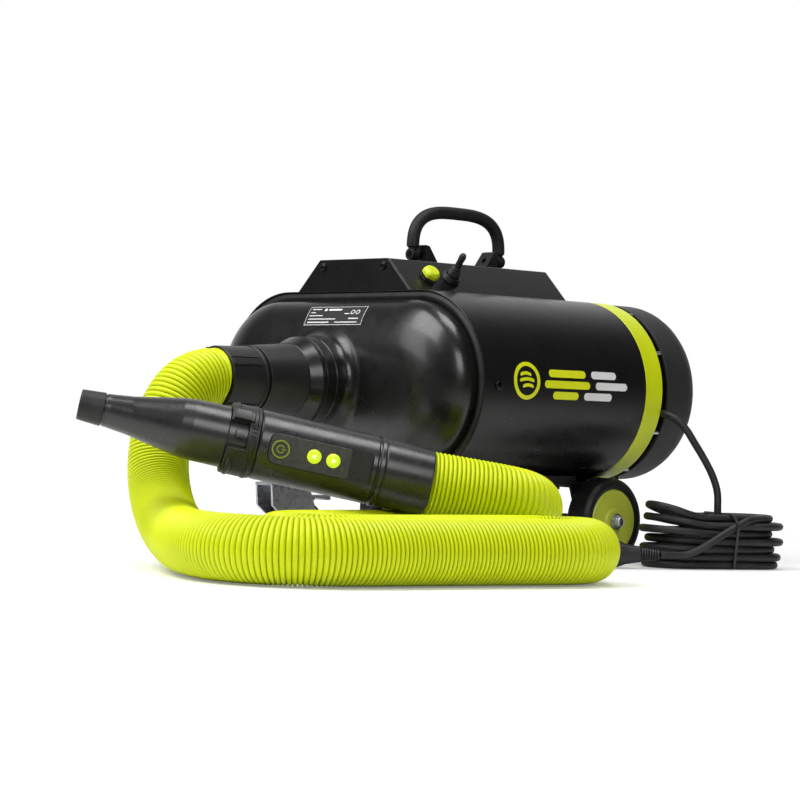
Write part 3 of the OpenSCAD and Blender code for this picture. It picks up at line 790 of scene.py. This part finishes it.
def dress(piece, material, *nodes, body="machine", slot=None, even=True):
    """Gives a piece its material, its body and what it stands for; slot is not used."""
    piece.data.materials.clear()
    piece.data.materials.append(MATERIALS[material])
    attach(piece, body)
    if nodes:
        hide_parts(*nodes)
    if even and not piece.modifiers:
        normals = piece.modifiers.new("normals", "WEIGHTED_NORMAL")
        normals.keep_sharp = True
    return piece


SLOT_OF = {part["node"]: part["material_slot"] for part in frame["record"]["subparts"]}
BLACK_STEEL = ("handle_pins", "base_bolts")
for node, piece in frame["nodes"].items():
    material = MATERIALS["zinc_black" if node in BLACK_STEEL else SLOT_OF[node]]
    for index in range(len(piece.data.materials)):
        piece.data.materials[index] = material
    if not piece.data.materials:
        piece.data.materials.append(material)
for width, nodes in (
    (0.8, ("handle_base",)), (0.6, ("base_plate",)), (0.4, ("base_bolts", "caster_mounts")),
    (0.3, ("breaker_body",)),
    (0.5, ("axle_brackets", "caster_fork_left", "caster_fork_right", "caster_brake_left",
           "caster_brake_right", "cord_gland")),
):
    for node in nodes:
        round_edges(frame["nodes"][node], width)


# ---- body

SHEET = 1.5
BAND_END = 254
SHOULDER_WIDTH = 56
SHOULDER_DEPTH = 30
SHOULDER_RADIUS = 46
CAP_R = 80.1
CAP_WALL = 3
NECK_R = 43.5
NECK_FILLET = 13
NECK_BORE = 33
NECK_RIM = -69.5
NECK_DROP = 1
CAP_FACE = -6
CAP_BACK = 14
COLLAR_AT = -84
SOCKET_AT = -128
COVER_R = 89
COVER_START = 263.5
COVER_END = 320
COVER_SHOULDER = 28


def make_shell():
    """Folded steel shell, the lime band behind it and the dark ring in its front rim."""
    steel = band_profile(SHELL_R - SHEET, SHELL_R, 0, SHELL_LENGTH, 0.6)
    shell = obround_skin("body_shell", steel)
    dress(shell, "shell_black", "shell")
    lime = band_profile(84, SHELL_R, SHELL_LENGTH + 0.1, BAND_END, 1.1)
    band = obround_skin("lime_band", lime)
    dress(band, "band_lime", "rear_band")
    bead = rounded(
        [(80.2, 1.4, 1.6), (84, -0.2, 3), (88.4, 1.4, 1.8), (88.4, 12, 0.5), (80.2, 12, 0.5)],
        steps=5, closed=True,
    )
    dress(obround_skin("cap_seal", bead), "rubber_black", "trim_ring")


def make_rear_shroud():
    """Domed cover that stands off the band, open at its front."""
    inner = COVER_R - 3.5
    turn = [radians(90 * k / 10) for k in range(11)]
    outer_start = COVER_END - COVER_SHOULDER
    outer = [(0, COVER_END), (COVER_R - COVER_SHOULDER - 12, COVER_END)]
    for a in reversed(turn):
        outer.append((
            COVER_R - COVER_SHOULDER + COVER_SHOULDER * cos(a),
            outer_start + COVER_SHOULDER * sin(a),
        ))
    lip = [(COVER_R, COVER_START + 3)] + rounded(
        [(COVER_R, COVER_START + 2), (COVER_R, COVER_START, 1.2), (inner, COVER_START, 1.2),
         (inner, COVER_START + 2)], steps=3,
    )
    small = COVER_SHOULDER - 3.5
    hollow = [(inner - small + small * cos(a), outer_start + small * sin(a)) for a in turn]
    end = [(0, COVER_END - 3.5)]
    shroud = obround_skin("rear_shroud", outer + lip + hollow + end, looped=False)
    dress(shroud, "cover_grey", "rear_cover", slot="plastic_black")


def cap_inset(x, z):
    """How far a point lies inside the cap's outline, z from the shell's axis."""
    past = max(abs(x) - END_X, 0)
    return CAP_R - hypot(past, z)


def cap_front(inset):
    """Forward face of the dome at an inset: flat in the middle, then the elliptic shoulder."""
    left = max(1 - inset / SHOULDER_WIDTH, 0)
    return CAP_FACE - SHOULDER_DEPTH * sqrt(max(1 - left ** 2, 0))


def cap_reach(angle, inset):
    """Distance from the outlet's axis at which a ray meets that inset of the cap's outline."""
    near, far = 0.0, 260.0
    for _ in range(40):
        middle = (near + far) / 2
        deep = cap_inset(middle * cos(angle), middle * sin(angle) - NECK_DROP)
        near, far = (middle, far) if deep > inset else (near, middle)
    return near


def make_cap():
    """Moulded cap: obround dome, flared neck and bore, swept along rays from the outlet's axis."""
    rays = 288
    flare = NECK_R + NECK_FILLET
    neck = rounded(
        [
            (NECK_BORE, -33), (NECK_BORE, NECK_RIM, 0.8), (42, NECK_RIM, 0.6), (42, -67.8, 0.2),
            (NECK_R, -67.8, 0.7), (NECK_R, -56.4, 0.5), (NECK_R - 1, -55.7, 0.4), (NECK_R, -54.6),
        ], steps=3,
    )
    columns = []
    for ray in range(rays):
        a = TAU * ray / rays
        column = []
        inner = cap_reach(a, CAP_WALL)
        column += [(inner, y) for y in (CAP_BACK, 4, CAP_FACE)]
        for k in range(1, 9):
            turn = radians(90 * k / 8)
            inset = CAP_WALL + (SHOULDER_WIDTH - 12) * (1 - cos(turn))
            rise = (SHOULDER_DEPTH - CAP_WALL) * sin(turn)
            column.append((cap_reach(a, inset), CAP_FACE - rise))
        column += [tuple(point) for point in neck]
        for k in range(9):
            reach = NECK_R + NECK_FILLET * (k / 8) ** 1.6
            dip = sqrt(max(NECK_FILLET ** 2 - (flare - reach) ** 2, 0)) - NECK_FILLET
            deep = cap_inset(reach * cos(a), reach * sin(a) - NECK_DROP)
            column.append((reach, cap_front(deep) + dip))
        deep = cap_inset(flare * cos(a), flare * sin(a) - NECK_DROP)
        deep = min(deep, SHOULDER_WIDTH)
        edge = cap_reach(a, deep)
        for k in range(1, 5):
            column.append((flare + (edge - flare) * k / 4, cap_front(deep)))
        first = acos(1 - deep / SHOULDER_WIDTH)
        for k in range(1, 17):
            turn = first * (1 - k / 16)
            inset = SHOULDER_WIDTH * (1 - cos(turn))
            column.append((cap_reach(a, inset), CAP_FACE - SHOULDER_DEPTH * sin(turn)))
        column += [(cap_reach(a, 0), 0), (cap_reach(a, 0), CAP_BACK)]
        axis = AXIS_Z - NECK_DROP
        columns.append([at(reach * cos(a), y, axis + reach * sin(a)) for reach, y in column])
    cap = skin("cap_moulding", columns, looped=True)
    dress(cap, "cap_gloss_black", "front_cap")


def forward(y):
    """Frame on the outlet's axis at y, z pointing forward out of the machine."""
    return frame_at(at(0, y, AXIS_Z - NECK_DROP), (0, -1, 0))


def make_outlet():
    """Ring, collar and hose socket in front of the cap's neck."""
    ring = [(33, 0, 0.4), (43, 0, 0.8), (42.8, 3, 1.2), (36.6, 14.5, 1), (33, 14.5, 0.4)]
    piece = turned("neck_ring", ring, forward(NECK_RIM - 0.1), 6)
    dress(piece, "cap_gloss_black", "outlet_ring")
    collar = [(28, 0, 0.4), (36.2, 0, 0.6), (32.5, 44, 0.8), (28, 44, 0.4)]
    piece = turned("neck_collar", collar, forward(COLLAR_AT), 6)
    dress(piece, "plastic_black", "outlet_collar")
    socket = [
        (24, 0, 0.4), (30.5, 0, 0.4), (30.5, 2.3, 0.3), (32.4, 2.5, 0.9), (32.4, 5.4, 0.9),
        (31, 5.7, 0.4), (31.2, 7, 0.3), (30.4, 43.8, 1), (24, 44, 0.6),
    ]
    parts = [turned("hose_socket", socket, forward(SOCKET_AT), 4)]
    for angle in (-57, 33, 123, 213):
        place = forward(SOCKET_AT) @ turn_by(angle)
        for side in (-1, 1):
            parts.append(block("rib", (29, side * 4 - 0.5, 8), (31.9, side * 4 + 0.5, 43), place, 0.3))
        parts.append(block("pad", (29, -3.2, 8), (31.6, 3.2, 42.6), place, 0.4))
    dress(join("hose_socket", parts), "plastic_black", "hose_cuff")


def shell_surface(u, v, lift):
    """Right-hand end of the shell: u is y, v the height round the curve from the axis."""
    radius = SHELL_R + lift
    a = v / radius
    return at(END_X + radius * cos(a), u, AXIS_Z + radius * sin(a))


def make_emblem():
    """Printed mark with no lettering: a ringed air stream, and lime and white flow lines."""
    middle, height = 57.5, 6
    parts = [ring_print("emblem_ring", 18, 14, middle, height, shell_surface)]
    for k, (start, end) in enumerate(((-9, 6), (-10, 10), (-6, 9))):
        level = height + 5.6 - 5.6 * k
        parts.append(bar("stream", middle + start, middle + end, level, 1.6, shell_surface, 1.6))
    for start, end, level in ((88, 140, 14), (82, 146, 3.5), (94, 130, -7)):
        parts.append(bar("flow", start, end, level, 3.7, shell_surface))
    dress(join("emblem_lime", parts), "print_lime", slot="band_lime")
    white = [
        bar("flow", start, end, level, 3.7, shell_surface)
        for start, end, level in ((148, 184, 14), (154, 200, 3.5), (138, 178, -7))
    ]
    dress(join("emblem_white", white), "print_white", slot="panel_grey")


def cap_surface(u, v, lift):
    """Top shoulder of the cap: u is x, v runs up the curve from its flat front."""
    a = pi / 2 - v / SHOULDER_RADIUS
    forwards, upwards = sin(a), cos(a)
    out = Vector((0, -forwards / SHOULDER_DEPTH, upwards / SHOULDER_WIDTH)).normalized() * lift
    y = CAP_FACE - SHOULDER_DEPTH * forwards
    z = AXIS_Z + CAP_R - SHOULDER_WIDTH * (1 - upwards)
    return at(u, y + out.y, z + out.z)


def make_rating_label():
    """Dark label with a thin frame and plain dashes in place of any text."""
    left, right, low, high, rows = -35, 47, 26.5, 49, 12
    levels = [low + (high - low) * k / rows for k in range(rows + 1)]
    plate = strip("rating_label", [((left, v), (right, v)) for v in levels], cap_surface)
    dress(plate, "label_black", slot="plastic_black")

    def raised(u, v, lift):
        return cap_surface(u, v, lift + PRINT_LIFT)

    lines = []
    for v in (low + 0.6, high - 0.6):
        lines.append(bar("frame", left + 0.6, right - 0.6, v, 0.25, raised))
    for u in (left + 0.6, right - 0.6):
        lines.append(strip("frame", [((u - 0.25, v), (u + 0.25, v)) for v in levels], raised))
    for start, end, v, half in (
        (-31, -18, 45, 0.6), (-13, -9, 44.2, 1.7), (-7, 12, 44.2, 1.2), (-31, -24, 40.6, 0.5),
        (-31, -12, 36.8, 0.5), (-31, 8, 33, 0.5), (-31, 0, 29.6, 0.6), (8, 40, 29.6, 0.5),
        (18, 25, 39, 0.5), (26, 40, 33.4, 0.6),
    ):
        lines.append(bar("dash", start, end, v, half, raised))
    for u in (29, 36):
        lines.append(ring_print("dial", 2.8, 1.9, u, 41, raised))
    dress(join("label_print", lines), "print_white", slot="panel_grey")


def screw_head(name, place, radius, height):
    """Pan head with a cross recess, its seat on z = 0."""
    corners = [(0, -1), (radius, -1, 0.2), (radius, height * 0.55, height * 0.4), (0, height)]
    head = capped(name, corners, place, 8, 40)
    tools = []
    for turn in (0, 90):
        low = (-radius * 0.55, -0.45, height * 0.45)
        high = (radius * 0.55, 0.45, height + 1)
        tools.append(block("slot", low, high, place @ turn_by(turn + 20), 0))
    return cut(head, *tools)


def make_screws():
    """Black screws of the front panel and the shell's two ends."""
    front, ends = [], []
    for side in (-1, 1):
        seat = frame_at(at(side * 43, 0, 285), (0, -1, 0))
        front.append(screw_head("head", seat, 4.4, 2.8))
    for side in (-1, 1):
        seat = sideways(side, 184, 19, 171)
        ends.append(screw_head("head", seat, 4.6, 2.6))
    for name, heads, node in (
        ("panel_screw_heads", front, "panel_screws"), ("shell_screw_heads", ends, "side_screws"),
    ):
        dress(join(name, heads), "zinc_black", node, slot="zinc_steel")


# ---- top housing and switches

SLOPE = Vector(JOINTS["breaker_press"]["axis"]) * -1
BREAKER_Y = 39
TOGGLE_Y = 69
TOGGLE_LEAN = 11


def facing(y):
    """Frame at y with x across, y up and z forward."""
    return Matrix.Translation(at(0, y, 0)) @ UPRIGHT @ Matrix.Scale(MM, 4)


def on_slope(y):
    """Frame on the housing's right-hand slope at y, z out of the sheet and y rearward."""
    return frame_at(at(65.5, y, 275), SLOPE, (1, 0, -1))


def make_housing():
    """Folded steel housing and its front panel."""
    outline = rounded([(-79.5, 260.8), (-48.5, 292, 3), (48.5, 292, 3), (79.5, 260.8)], steps=6)
    housing = prism("switch_housing", outline, 221.7, facing(224), bevel=0.7)
    dress(housing, "shell_black", "top_housing")
    face = prism("housing_face", outline, 2, facing(2), bevel=0.55)
    dress(face, "shell_black", "front_panel")


def make_breaker_boot():
    """Lime six-sided rubber boot over the breaker's reset button."""
    profile = [
        (0, 3.4), (8.6, 3.4, 0.4), (9, 4.4, 0.8), (8.6, 7.6, 1.2), (6.4, 10.2, 1.6), (0, 10.8),
    ]

    def lobes(a, radius, height):
        return radius * (1 + 0.045 * cos(6 * a) * min((11 - height) / 4, 1))

    boot = capped("reset_boot", profile, on_slope(BREAKER_Y), 5, 120, lobes)
    dress(boot, "boot_lime", "breaker_button", body="breaker_button")


def make_toggle():
    """Toggle switch's collar, and its lever in a ribbed rubber boot."""
    seat = on_slope(TOGGLE_Y)
    collar = [
        (6.7, -1, 0.2), (10, -1, 0.3), (10, 2.4, 0.6), (9.3, 2.7, 0.2), (9.4, 4.1, 0.5),
        (8.6, 4.4, 0.2), (8.7, 5.6, 0.5), (6.7, 5.6, 0.3),
    ]
    dress(turned("toggle_collar", collar, seat, 3), "plastic_black", "toggle_body")
    boot = [
        (0, -4.4), (4.6, -3.8, 1), (6.2, 0, 1), (6.4, 2.6, 0.7), (5.6, 3.4, 0.4), (6.1, 4.4, 0.5),
        (5.1, 5.8, 0.4), (5.5, 6.8, 0.5), (4.5, 8.2, 0.4), (4.7, 9.4, 0.5), (3.5, 11, 0.8),
        (3.2, 18, 2), (3.6, 24, 2), (2.6, 27.6, 1.6), (0, 27.8),
    ]
    lever = moved(seat, 0, 0, 6) @ turn_by(TOGGLE_LEAN, "X")
    bat = capped("toggle_bat", boot, lever, 4, 48)
    dress(bat, "rubber_black", "toggle_lever", body="toggle_lever")


def make_handle():
    """Folding bail: a thick rubber grip on two pivot eyes."""
    middle, leg, top, pivot = 142, 61.5, 347, 302
    foot = pivot + 6.5
    points = []
    for k in range(33):
        a = pi * (1 - k / 32)
        across = copysign(abs(cos(a)) ** 0.62, cos(a))
        points.append(at(0, middle + leg * across, foot + (top - foot) * sin(a) ** 0.72))
    path = smooth_path(points, 1.6 * MM)

    def grip_radius(travelled, total):
        near = min(travelled, total - travelled) / MM
        round_end = sqrt(max(1 - (1 - min(near / 2.5, 1)) ** 2, 0))
        return (4.6 + 1.8 * round_end) * MM

    upright = Vector((0, 0, 1))
    parts = [tube_mesh("grip", path, grip_radius, 36, (upright, -upright))]
    ring = [(3.1, -4.8, 0.3), (5.9, -4.8, 0.7), (5.9, 4.8, 0.7), (3.1, 4.8, 0.3)]
    neck = [(0, 5), (4.5, 5), (4.5, 9), (0, 9)]
    for side in (-1, 1):
        eye = at(0, middle + side * leg, pivot)
        parts.append(turned("eye", ring, frame_at(eye, (0, 1, 0)), 3, 48))
        parts.append(capped("neck", neck, frame_at(eye, (0, 0, 1), (1, 0, 0)), 2, 36))
    dress(join("bail_grip", parts), "handle_black", "handle_arch", body="handle", slot="rubber_black")


# ---- wheels

WHEEL_Y = 210.5
WHEEL_IN = 135
TYRE_R = 42.5
AXLE_OUT = 166
CASTER_X = 122
CASTER_Y = 51
CASTER_R = 25


def make_wheels():
    """Rear tyres on lime-olive discs, and the domed nuts that hold them."""
    tyre = [
        (32.1, 0.6, 0.6), (35, 0, 1), (38.8, 0.6, 3), (42.5, 4.5, 4), (42.5, 24.5, 4),
        (38.8, 28.6, 3), (35, 29, 1), (32.1, 28, 0.8),
    ]
    disc = [
        (5.1, -5, 0.4), (11, -5, 0.8), (11, 0, 1), (29.5, 0, 1), (31.9, 1, 0.5), (31.9, 26.2, 0.8),
        (30.1, 28, 1), (25, 27.4, 4), (13, 27.4, 2), (11, 29.2, 1), (5.1, 29.4, 0.3),
    ]
    washer = [(0, 0), (8, 0, 0.3), (8, 1.2, 0.3), (0, 1.2)]
    dome = [(0, 4), (4.9, 4), (4.7, 6.4, 2.4), (0, 8.6)]
    nuts = []
    for name, side in (("left", -1), ("right", 1)):
        body = "wheel_" + name
        place = sideways(side, WHEEL_IN, WHEEL_Y, TYRE_R)
        tread = turned("tread_" + name, tyre, place, 6, 160)
        dress(tread, "tyre_black", "tyre_" + name, body=body)
        wheel = turned("disc_" + name, disc, place, 5, 128)
        dress(wheel, "hub_olive", "hub_" + name, body=body)
        seat = sideways(side, AXLE_OUT, WHEEL_Y, TYRE_R)
        nuts.append(capped("washer", washer, seat, 3, 48))
        nuts.append(prism("nut", circle(6.4, 6), 3.2, moved(seat, 0, 0, 1.2), 0.5))
        nuts.append(capped("dome", dome, seat, 8, 48))
    dress(join("acorn_nuts", nuts), "zinc_steel", "axle_nuts")


def make_caster_wheels():
    """Solid rubber caster wheels with a recessed centre and a pressed tread."""
    half = [
        (4.1, -7, 0.3), (8.6, -7, 0.4), (9.6, -5.2, 0.6), (16.4, -5.2, 0.8), (17.6, -8.8, 0.8),
        (21, -9, 1), (25, -6.5, 3),
    ]
    tread = half + [(radius, -height, size) for radius, height, size in reversed(half)]
    for name, side in (("left", -1), ("right", 1)):
        body = "caster_wheel_" + name
        place = sideways(side, CASTER_X, CASTER_Y, CASTER_R)
        roller = turned("roller_" + name, tread, place, 4)
        dress(roller, "tyre_black", body, body=body)


# ---- handset

AXIS = Vector(JOINTS["lock_ring_twist"]["axis"]).normalized()
INWARD = Vector(JOINTS["power_button_press"]["axis"]).normalized()
outlet = frame["record"]["mounts"][0]
TIP = Vector(outlet["pos_m"]) - AXIS * 10 * MM
PANEL_SEAT = 26.9
RING_START = 129.4


def on_handset(s=0):
    """Frame at s millimetres from the nozzle's tip: z to the hose end, -y out of the controls."""
    turn = Matrix((INWARD.cross(AXIS), INWARD, AXIS)).transposed().to_4x4()
    return Matrix.Translation(TIP + AXIS * s * MM) @ turn @ Matrix.Scale(MM, 4)


def on_panel(depth):
    """Frame over the control panel at that distance from the axis: x across, y along, z outward."""
    return moved(on_handset(), 0, -depth, 0) @ UPRIGHT


def curved_block(name, inner, outer, start, end, low, high, bevel):
    """Block between two radii and two angles, from s = low to high on the handset."""
    outside, inside = (circle(radius, 20, start, end - start) for radius in (outer, inner))
    return prism(name, outside + inside[::-1], high - low, on_handset(low), bevel)


def make_nozzle():
    """Rubber tip and flared nozzle, with the lug that the bayonet ring locks."""
    tip = [(11, 0, 0.9), (13.2, 0, 1.3), (14.6, 18, 1), (14.8, 20.8, 0.7), (11, 20.8, 0.3)]
    dress(turned("soft_tip", tip, on_handset(), 5), "rubber_black", "nozzle_tip", body="nozzle")
    flare = [
        (11.2, 21, 0.2), (13.6, 21, 0.2), (13.7, 22.4, 0.2), (14.4, 22.6, 0.4), (14.6, 26, 2),
        (17, 45, 30), (25.6, 88, 16), (26.6, 98, 10), (27, 128.8, 0.8), (25.7, 129.2, 0.3),
        (25.7, 149, 0.5), (23, 149, 0.5), (23, 94, 8), (11.2, 25, 3),
    ]
    parts = [turned("cone", flare, on_handset(), 8, 128)]
    parts.append(curved_block("lug", 24.5, 30, -107, -93, 135, 143, 0.5))
    dress(join("nozzle_cone", parts), "grip_black", "nozzle", body="nozzle", slot="plastic_black")


def make_lock_ring():
    """Bayonet ring with its slot, pads, ears and marks."""
    profile = [
        (26.1, 0, 0.4), (30.8, 0, 0.8), (31.2, 3.4, 0.4), (32, 4.2, 0.6), (32, 6.4, 0.6),
        (31.2, 7.2, 0.3), (31.2, 19.2, 0.3), (31.9, 20, 0.6), (31.9, 22.6, 0.6), (31.1, 23.4, 0.3),
        (30.9, 26.1, 0.6), (26.1, 26.1, 0.4),
    ]
    ring = turned("bayonet_ring", profile, on_handset(RING_START), 3, 144)
    slot = curved_block("slot", 24, 35, -122.5, -77.5, 127, 145.9, 0)
    notch = curved_block("notch", 30.2, 35, -118, -96, 147.4, 153.6, 0)
    parts = [cut(ring, slot, notch)]
    for start, end in ((-142, -124), (-76, -58)):
        parts.append(curved_block("pad", 30, 32.6, start, end, 130.6, 149, 0.5))
    for start, end in ((-141, -123), (41, 69)):
        parts.append(curved_block("ear", 30, 34.4, start, end, 131.5, 146, 0.9))
    for k in range(3):
        parts.append(curved_block("mark", 30, 31.7, -117 + 7 * k, -113.5 + 7 * k, 148.6, 152.6, 0.2))
    dress(join("bayonet_ring", parts), "plastic_black", "lock_ring", body="lock_ring")


def make_grip():
    """Handset's body with its recess, the hose cuff behind it and the seams between."""
    body = [
        (24, 156.2, 0.3), (30, 156.2, 0.8), (30.5, 158, 0.8), (30.5, 261, 0.8), (29.6, 261.9, 0.3),
        (24, 261.9, 0.3),
    ]
    well = [(-14, 164.5, 10), (14, 164.5, 10), (14, 257.5, 5), (-14, 257.5, 5)]
    shell = turned("grip_shell", body, on_handset(), 4, 160)
    well = prism("well", rounded(well, 10, closed=True), 12, on_panel(PANEL_SEAT))
    dress(cut(shell, well), "grip_black", "handset_body", slot="plastic_black")
    cuff = [
        (24, 262, 0.3), (29.4, 262, 0.3), (29.4, 263.4, 0.2), (31.4, 263.8, 0.9), (31.4, 267.6, 0.9),
        (29.9, 268.2, 0.3), (30.6, 269.4, 0.6), (29.5, 312, 1.4), (24, 313, 1),
    ]
    piece = turned("grip_cuff", cuff, on_handset(), 5, 128)
    dress(piece, "grip_black", "handset_cuff", slot="rubber_black")
    plate = [(-13.2, 165.5, 9), (13.2, 165.5, 9), (13.2, 237.5, 2), (-13.2, 237.5, 2)]
    plate = rounded(plate, 10, closed=True)
    panel = prism("control_plate", plate, 1.8, on_panel(PANEL_SEAT), bevel=0.45)
    dress(panel, "panel_grey", "control_panel")


def flat_surface(place):
    """Surface function of a flat face: u and v lie on it, lift stands off it."""
    return lambda u, v, lift: place @ Vector((u, v, lift))


def make_buttons():
    """Power button with its printed sign, and two keys with arrows that glow with painted light."""
    cap = [(0, 28.2), (8.2, 28.2), (8.2, 30.1, 0.5), (0, 30.3)]
    key = [(0, 28.2), (6.2, 28.2), (6.2, 29.9, 0.8), (4, 30.5, 2), (0, 30.6)]
    axis = moved(on_panel(0), 0, 175.5, 0)
    face = flat_surface(moved(axis, 0, 0, 30.25))
    power = capped("power_key", cap, axis, 5, 64)
    dress(power, "button_dark", "power_button", body="power_button")
    sign = [
        ring_print("edge", 8, 6.6, 0, 0, face),
        ring_print("sign", 3.6, 2.6, 0, 0, face, 120, 300, 40),
        strip("bar", [((-0.5, 1), (0.5, 1)), ((-0.5, 4.6), (0.5, 4.6))], face),
    ]
    dress(join("power_sign", sign), "print_dull_lime", body="power_button", slot="button_lime")
    for name, s, way in (("slower_button", 205.5, -1), ("faster_button", 222.5, 1)):
        axis = moved(on_panel(0), 0, s, 0)
        dress(capped(name + "_key", key, axis, 5, 64), "button_lime", name, body=name)
        face = flat_surface(moved(axis, 0, 0, 30.5))
        tip = [((-0.05, 2.6 * way), (0.05, 2.6 * way)), ((-2.2, -1.2 * way), (2.2, -1.2 * way))]
        dress(strip(name + "_arrow", tip, face, high=0.25), "arrow_glow", body=name, slot="button_lime")


# ---- plug


def make_plug():
    """Moulded mains plug with a ribbed strain relief and three blades."""
    heading = radians(226)
    ahead = Vector((cos(heading), sin(heading), 0))
    place = frame_at(at(222, 183, 14), ahead)
    relief = [(0, -18), (4.6, -18)]
    for k in range(7):
        z = -17.4 + 2.5 * k
        wide = 5.3 + 0.33 * k
        relief += [(wide - 0.9, z), (wide, z + 0.4), (wide, z + 1.5), (wide - 0.9, z + 1.9)]
    relief += [(7.4, 0), (0, 0)]
    parts = [lathe("relief", relief, place, 40, False)]
    sections = [
        (0, 7.2, 8.2, 4), (1.5, 7.8, 8.8, 4), (8, 8.6, 9.6, 3.4), (15, 10, 11, 2.8),
        (20, 12.4, 12.6, 2.3), (22, 13, 13, 2), (26, 13, 13, 2), (27, 12.2, 12.2, 2),
    ]
    rings = []
    for z, high, wide, power in sections:
        ring = []
        for c, s in circle(1, 64):
            x = high * copysign(abs(c) ** (2 / power), c)
            y = wide * copysign(abs(s) ** (2 / power), s)
            ring.append(place @ Vector((x, y, z)))
        rings.append(ring)
    parts.append(skin("grip", rings, ends=True))
    moulding = dress(join("plug_moulding", parts), "plastic_black", "mains_plug")
    blades = []
    for turn in (0, 120, 240):
        flat = place @ turn_by(turn + 180)
        blades.append(block("blade", (6.2, -2.6, 26), (7.8, 2.6, 43), flat, 0.5))
    return [moulding, dress(join("plug_blades", blades), "zinc_steel")]


for make in (
    make_hose, make_shell, make_rear_shroud, make_cap, make_outlet, make_emblem, make_rating_label,
    make_screws, make_housing, make_breaker_boot, make_toggle, make_handle, make_wheels,
    make_caster_wheels, make_nozzle, make_lock_ring, make_grip, make_buttons, make_lead,
):
    make()


# ---- stage


def area_light(name, place, aim, size, radiance):
    """Square soft box of that radiance, from place towards aim."""
    lamp = bpy.data.lights.new(name, "AREA")
    lamp.size = size
    lamp.energy = radiance * pi * size ** 2
    piece = bpy.data.objects.new(name, lamp)
    bpy.context.scene.collection.objects.link(piece)
    back = (Vector(place) - Vector(aim)).normalized()
    turn = back.to_track_quat("Z", "Y").to_matrix().to_4x4()
    piece.matrix_world = Matrix.Translation(place) @ turn


def make_floor():
    """White sweep: it takes shadows near the object and is plain white further out."""
    corners = [(-9, -9, 0), (9, -9, 0), (9, 9, 0), (-9, 9, 0)]
    floor = mesh_object("floor", corners, [(0, 1, 2, 3)], smooth=False)
    recipe = Recipe("floor_white", (0.9, 0.9, 0.9), 0.6, specular=0.1)
    distance = recipe.nodes.new("ShaderNodeVectorMath")
    distance.operation = "LENGTH"
    recipe.links.new(recipe.place, distance.inputs[0])
    fill(recipe.shader, {"Emission Color": (1, 1, 1, 1)})
    away = recipe.spread(distance.outputs["Value"], 0, 1, 0.4, 1.5)
    recipe.feed("Base Color", recipe.mix(away, (0.9, 0.9, 0.9), (0, 0, 0)))
    seen = recipe.nodes.new("ShaderNodeLightPath").outputs["Is Camera Ray"]
    glow = recipe.nodes.new("ShaderNodeMath")
    glow.operation = "MULTIPLY"
    recipe.links.new(recipe.spread(away, 0.2, 1.02, 0, 1), glow.inputs[0])
    recipe.links.new(recipe.spread(seen, 0.2, 1, 0, 1), glow.inputs[1])
    recipe.feed("Emission Strength", glow.outputs["Value"])
    floor.data.materials.append(recipe.material)


def make_world():
    """Studio around the object: a bright backdrop behind it, dark to the sides and above, and plain white where
    the camera looks into it.
    """
    world = bpy.data.worlds.new("studio")
    bpy.context.scene.world = world
    world.use_nodes = True
    nodes, links = world.node_tree.nodes, world.node_tree.links
    place = nodes.new("ShaderNodeTexCoord").outputs["Generated"]
    facing_back = nodes.new("ShaderNodeVectorMath")
    facing_back.operation = "DOT_PRODUCT"
    azimuth = radians(CAMERA_AZIMUTH)
    facing_back.inputs[1].default_value = (-sin(azimuth), cos(azimuth), 0.05)
    links.new(place, facing_back.inputs[0])
    backdrop = nodes.new("ShaderNodeMapRange")
    backdrop.interpolation_type = "SMOOTHSTEP"
    fill(backdrop, {"From Min": 0.35, "From Max": 0.95, "To Min": 0.05, "To Max": 0.85})
    links.new(facing_back.outputs["Value"], backdrop.inputs["Value"])
    seen = nodes.new("ShaderNodeLightPath").outputs["Is Camera Ray"]
    strength = nodes.new("ShaderNodeMath")
    strength.operation = "MAXIMUM"
    links.new(backdrop.outputs["Result"], strength.inputs[0])
    links.new(seen, strength.inputs[1])
    background = fill(nodes["Background"], {"Color": (1, 1, 1, 1)})
    links.new(strength.outputs["Value"], background.inputs["Strength"])


make_floor()
make_world()
area_light("top_box", (0.35, 0.2, 1.75), (0.05, 0, 0.1), 0.8, 6.5)
area_light("key_box", (-0.25, -1.05, 1.6), (0.1, -0.15, 0.15), 1.15, 6.5)
area_light("left_box", (-1.1, -2.0, 1.2), (0, 0, 0.1), 1.1, 3.4)
area_light("right_box", (2.1, -1.0, 1.3), (0.1, 0, 0.1), 1.0, 5.6)
bpy.context.scene.view_settings.view_transform = "Standard"
